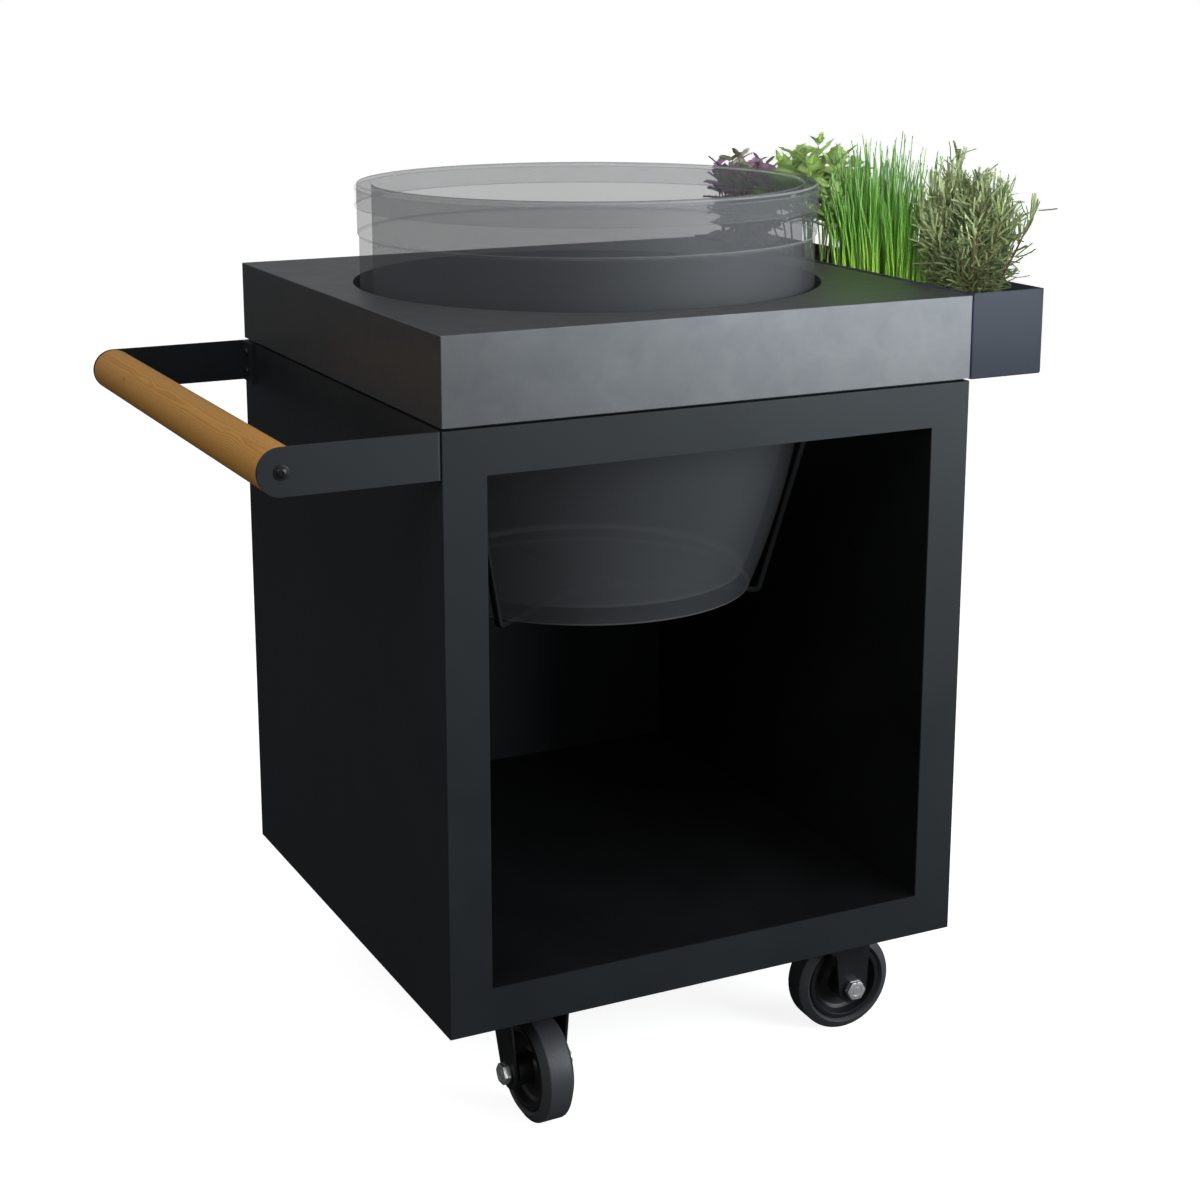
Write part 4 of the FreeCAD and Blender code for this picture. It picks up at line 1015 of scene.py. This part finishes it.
def make_mint():
    """Broad toothed leaves in crossed pairs, the youngest small and upright at the tips."""
    rng = np.random.default_rng(33)
    lines = stems(rng, 25, herb_bed("herb_mint", (0, 0.004)), (0.024, 0.066), (0.108, 0.152), (0.24, 0.44))
    place, base, heading, pitch = pairs(rng, lines, 5, 0.52, 0.8)
    size = rng.uniform(0.038, 0.054, len(place)) * tapered(place, 0.8, 0.42)
    blades = leaves(rng, base, heading, pitch, rng.uniform(-0.8, 0.3, len(place)), size, size * 0.64,
                    broad(0.62, 1.05, 0.06), 17, 5, 0.26, 4, 0.42)
    herb("mint_leaves", blades, MINT_LEAF, ["herb_mint"])
    herb("mint_stems", rods(rng, lines, 1.4 * MM, 0.8 * MM), GREEN_STEM)


def make_chives():
    """Hollow round blades in loose tufts, most of them nearly upright and some across the others."""
    spot = herb_bed("herb_chives")
    rng = np.random.default_rng(45)
    lines = np.r_[
        stems(rng, 250, spot, (0.034, 0.084), (0.118, 0.18), (0.13, 0.13), 9, 1.4, 0.7),
        stems(rng, 60, spot, (0.034, 0.08), (0.1, 0.172), (0.14, 0.24), 9, 1.1, 1.2)]
    thick = rng.uniform(1.1, 1.75, len(lines)) * MM
    herb("chive_blades", rods(rng, lines, thick, 0.55 * MM), CHIVE_BLADE, ["herb_chives"], 70)


def make_rosemary():
    """Woody stems that spread like a vase from a narrow foot, set with long needles that curve upwards."""
    spot = herb_bed("herb_rosemary", (0, -0.006))
    rng = np.random.default_rng(57)
    lines = np.r_[
        stems(rng, 64, spot, (0.02, 0.028), (0.06, 0.138), (0.3, 0.42), 10, 0.8),
        stems(rng, 9, spot, (0.022, 0.03), (0.142, 0.17), (0.2, 0.34), 10, 0.9)]
    per_stem = 40
    which = np.repeat(np.arange(len(lines)), per_stem)
    count = len(which)
    place = np.tile(np.linspace(0.06, 1, per_stem), len(lines)) + rng.normal(0, 0.012, count)
    place = np.clip(place, 0, 1)
    base = on_line(lines, which, place)
    heading = np.tile(np.arange(per_stem) * 2.4, len(lines)) + rng.normal(0, 0.4, count)
    pitch = 0.1 + 1.05 * place + rng.normal(0, 0.42, count)
    size = rng.uniform(0.026, 0.046, count) * tapered(place, 0.8, 0.25)
    # Painted shade: needles low on a stem, inside the bush, take more of the shade tone through their chance
    # mark.
    depth = np.clip(1.15 - 0.95 * place + rng.normal(0, 0.3, count), 0, 1)
    bend = rng.uniform(-0.8, 0.9, count)
    width = rng.uniform(2.4, 3.6, count) * MM
    *kept, depth = off_the_walls(base, heading, pitch, bend, size, width, depth)
    blades = leaves(rng, *kept, needle, 6, 3, 0.35, thickness=0.7 * MM, chance=depth)
    herb("rosemary_needles", blades, ROSEMARY_LEAF, ["herb_rosemary"], 70)
    herb("rosemary_stems", rods(rng, lines, 1.8 * MM, 0.9 * MM), WOODY_STEM)


def finish_built_pieces():
    """Gives the pieces that keep their built shape their finishes."""
    finishes = {
        CABINET_COAT: ["front_frame", "back_panel", "left_panel", "right_panel", "base_plate", "top_plate",
                       "spacer_frame"],
        # The parts inside the bay take the darker copy of the coat, painted shade.
        SHADED_INNER_COAT: ["left_liner", "right_liner", "floor_panel", *(corner + "_post" for corner in CORNERS)],
        WORKTOP: ["worktop"],
        HANDLE_COAT: ["handle_arm_front", "handle_arm_rear"],
        PLANTER_COAT: ["planter_hooks"],
        ZINC: ["cradle_bolts", "caster_bolts", "caster_nuts"],
        CASTER_COAT: ["caster_%s_mount" % corner for corner in CORNERS],
    }
    for material, nodes in finishes.items():
        for node in nodes:
            mesh = frame["nodes"][node].data
            mesh.materials.clear()
            mesh.materials.append(material)


# Studio
def make_floor():
    """A white floor that keeps the table's soft shadow."""
    size = 14
    mesh = bpy.data.meshes.new("studio_floor")
    corners = [(x * size, y * size, 0) for x, y in ((-1, -1), (1, -1), (1, 1), (-1, 1))]
    mesh.from_pydata(corners, [], [(0, 1, 2, 3)])
    floor = placed("studio_floor", mesh)
    material, _ = begin("floor_white", 0.9, 0, 0)
    seen = add(material.node_tree, "LightPath", {})["Is Camera Ray"]
    shade(material, {"Base Color": blend(seen, (0.14, 0.14, 0.14), (0.75, 0.75, 0.75)),
                     "Emission Color": (1, 1, 1), "Emission Strength": times(seen, 0.86)})
    mesh.materials.append(material)


def make_world():
    """White behind the table, pale in its reflections and dim as a light."""
    world = bpy.data.worlds.new("studio")
    bpy.context.scene.world = world
    world.use_nodes = True
    tree = world.node_tree
    path = add(tree, "LightPath", {})
    seen, lit, reflected = 1, 0.2, 0.06
    strength = number("ADD", times(path["Is Camera Ray"], seen - lit), lit)
    feed(tree.nodes["Background"].inputs["Strength"],
         number("ADD", strength, times(path["Is Glossy Ray"], reflected)))
    feed(tree.nodes["Background"].inputs["Color"], (1, 1, 1))


def softbox(name, place, aim, width, height, power, spread=180, tint=(1, 1, 1)):
    """A rectangular studio lamp that points from its place at its aim."""
    lamp = settle(bpy.data.lights.new(name, "AREA"), shape="RECTANGLE", size=width, size_y=height,
                  energy=power, spread=math.radians(spread), color=tint)
    turn = (Vector(aim) - Vector(place)).to_track_quat("-Z", "Y").to_euler()
    settle(placed(name, lamp), location=place, rotation_euler=turn)


def make_camera():
    """The photograph's view, from the front and left at eye level."""
    lens = settle(bpy.data.cameras.new("camera"), lens=64.89, sensor_width=36, shift_x=0.0096, shift_y=-0.1)
    bpy.context.scene.camera = settle(placed("camera", lens), location=(-1.0942, -2.3057, 1.2631),
                                      rotation_euler=(math.radians(90 - 12.931), 0, math.radians(-26.37)))


make_bowl()
make_band()
make_cradle()
make_handle()
for corner_name in CORNERS:
    make_caster(corner_name)
make_planter()
make_soil_bed()
make_basil()
make_mint()
make_chives()
make_rosemary()
finish_built_pieces()
make_floor()
make_world()
make_camera()
softbox("key", (1.75, -2.1, 1.2), (0.05, 0, 0.85), 2.2, 1.7, 58, 180, (0.94, 0.985, 1))
softbox("top", (-0.1, 0.1, 3.1), (0, 0, 0.9), 2.2, 2.2, 11)
softbox("left", (-2.2, -1.6, 2.4), (-0.3, 0, 0.8), 1.4, 1.4, 15.5)
softbox("herbs", (-0.62, -2.3, 1.3), (0.43, -0.02, 1), 0.4, 0.3, 0.58, 13)
bpy.context.scene.view_settings.view_transform = "Standard"
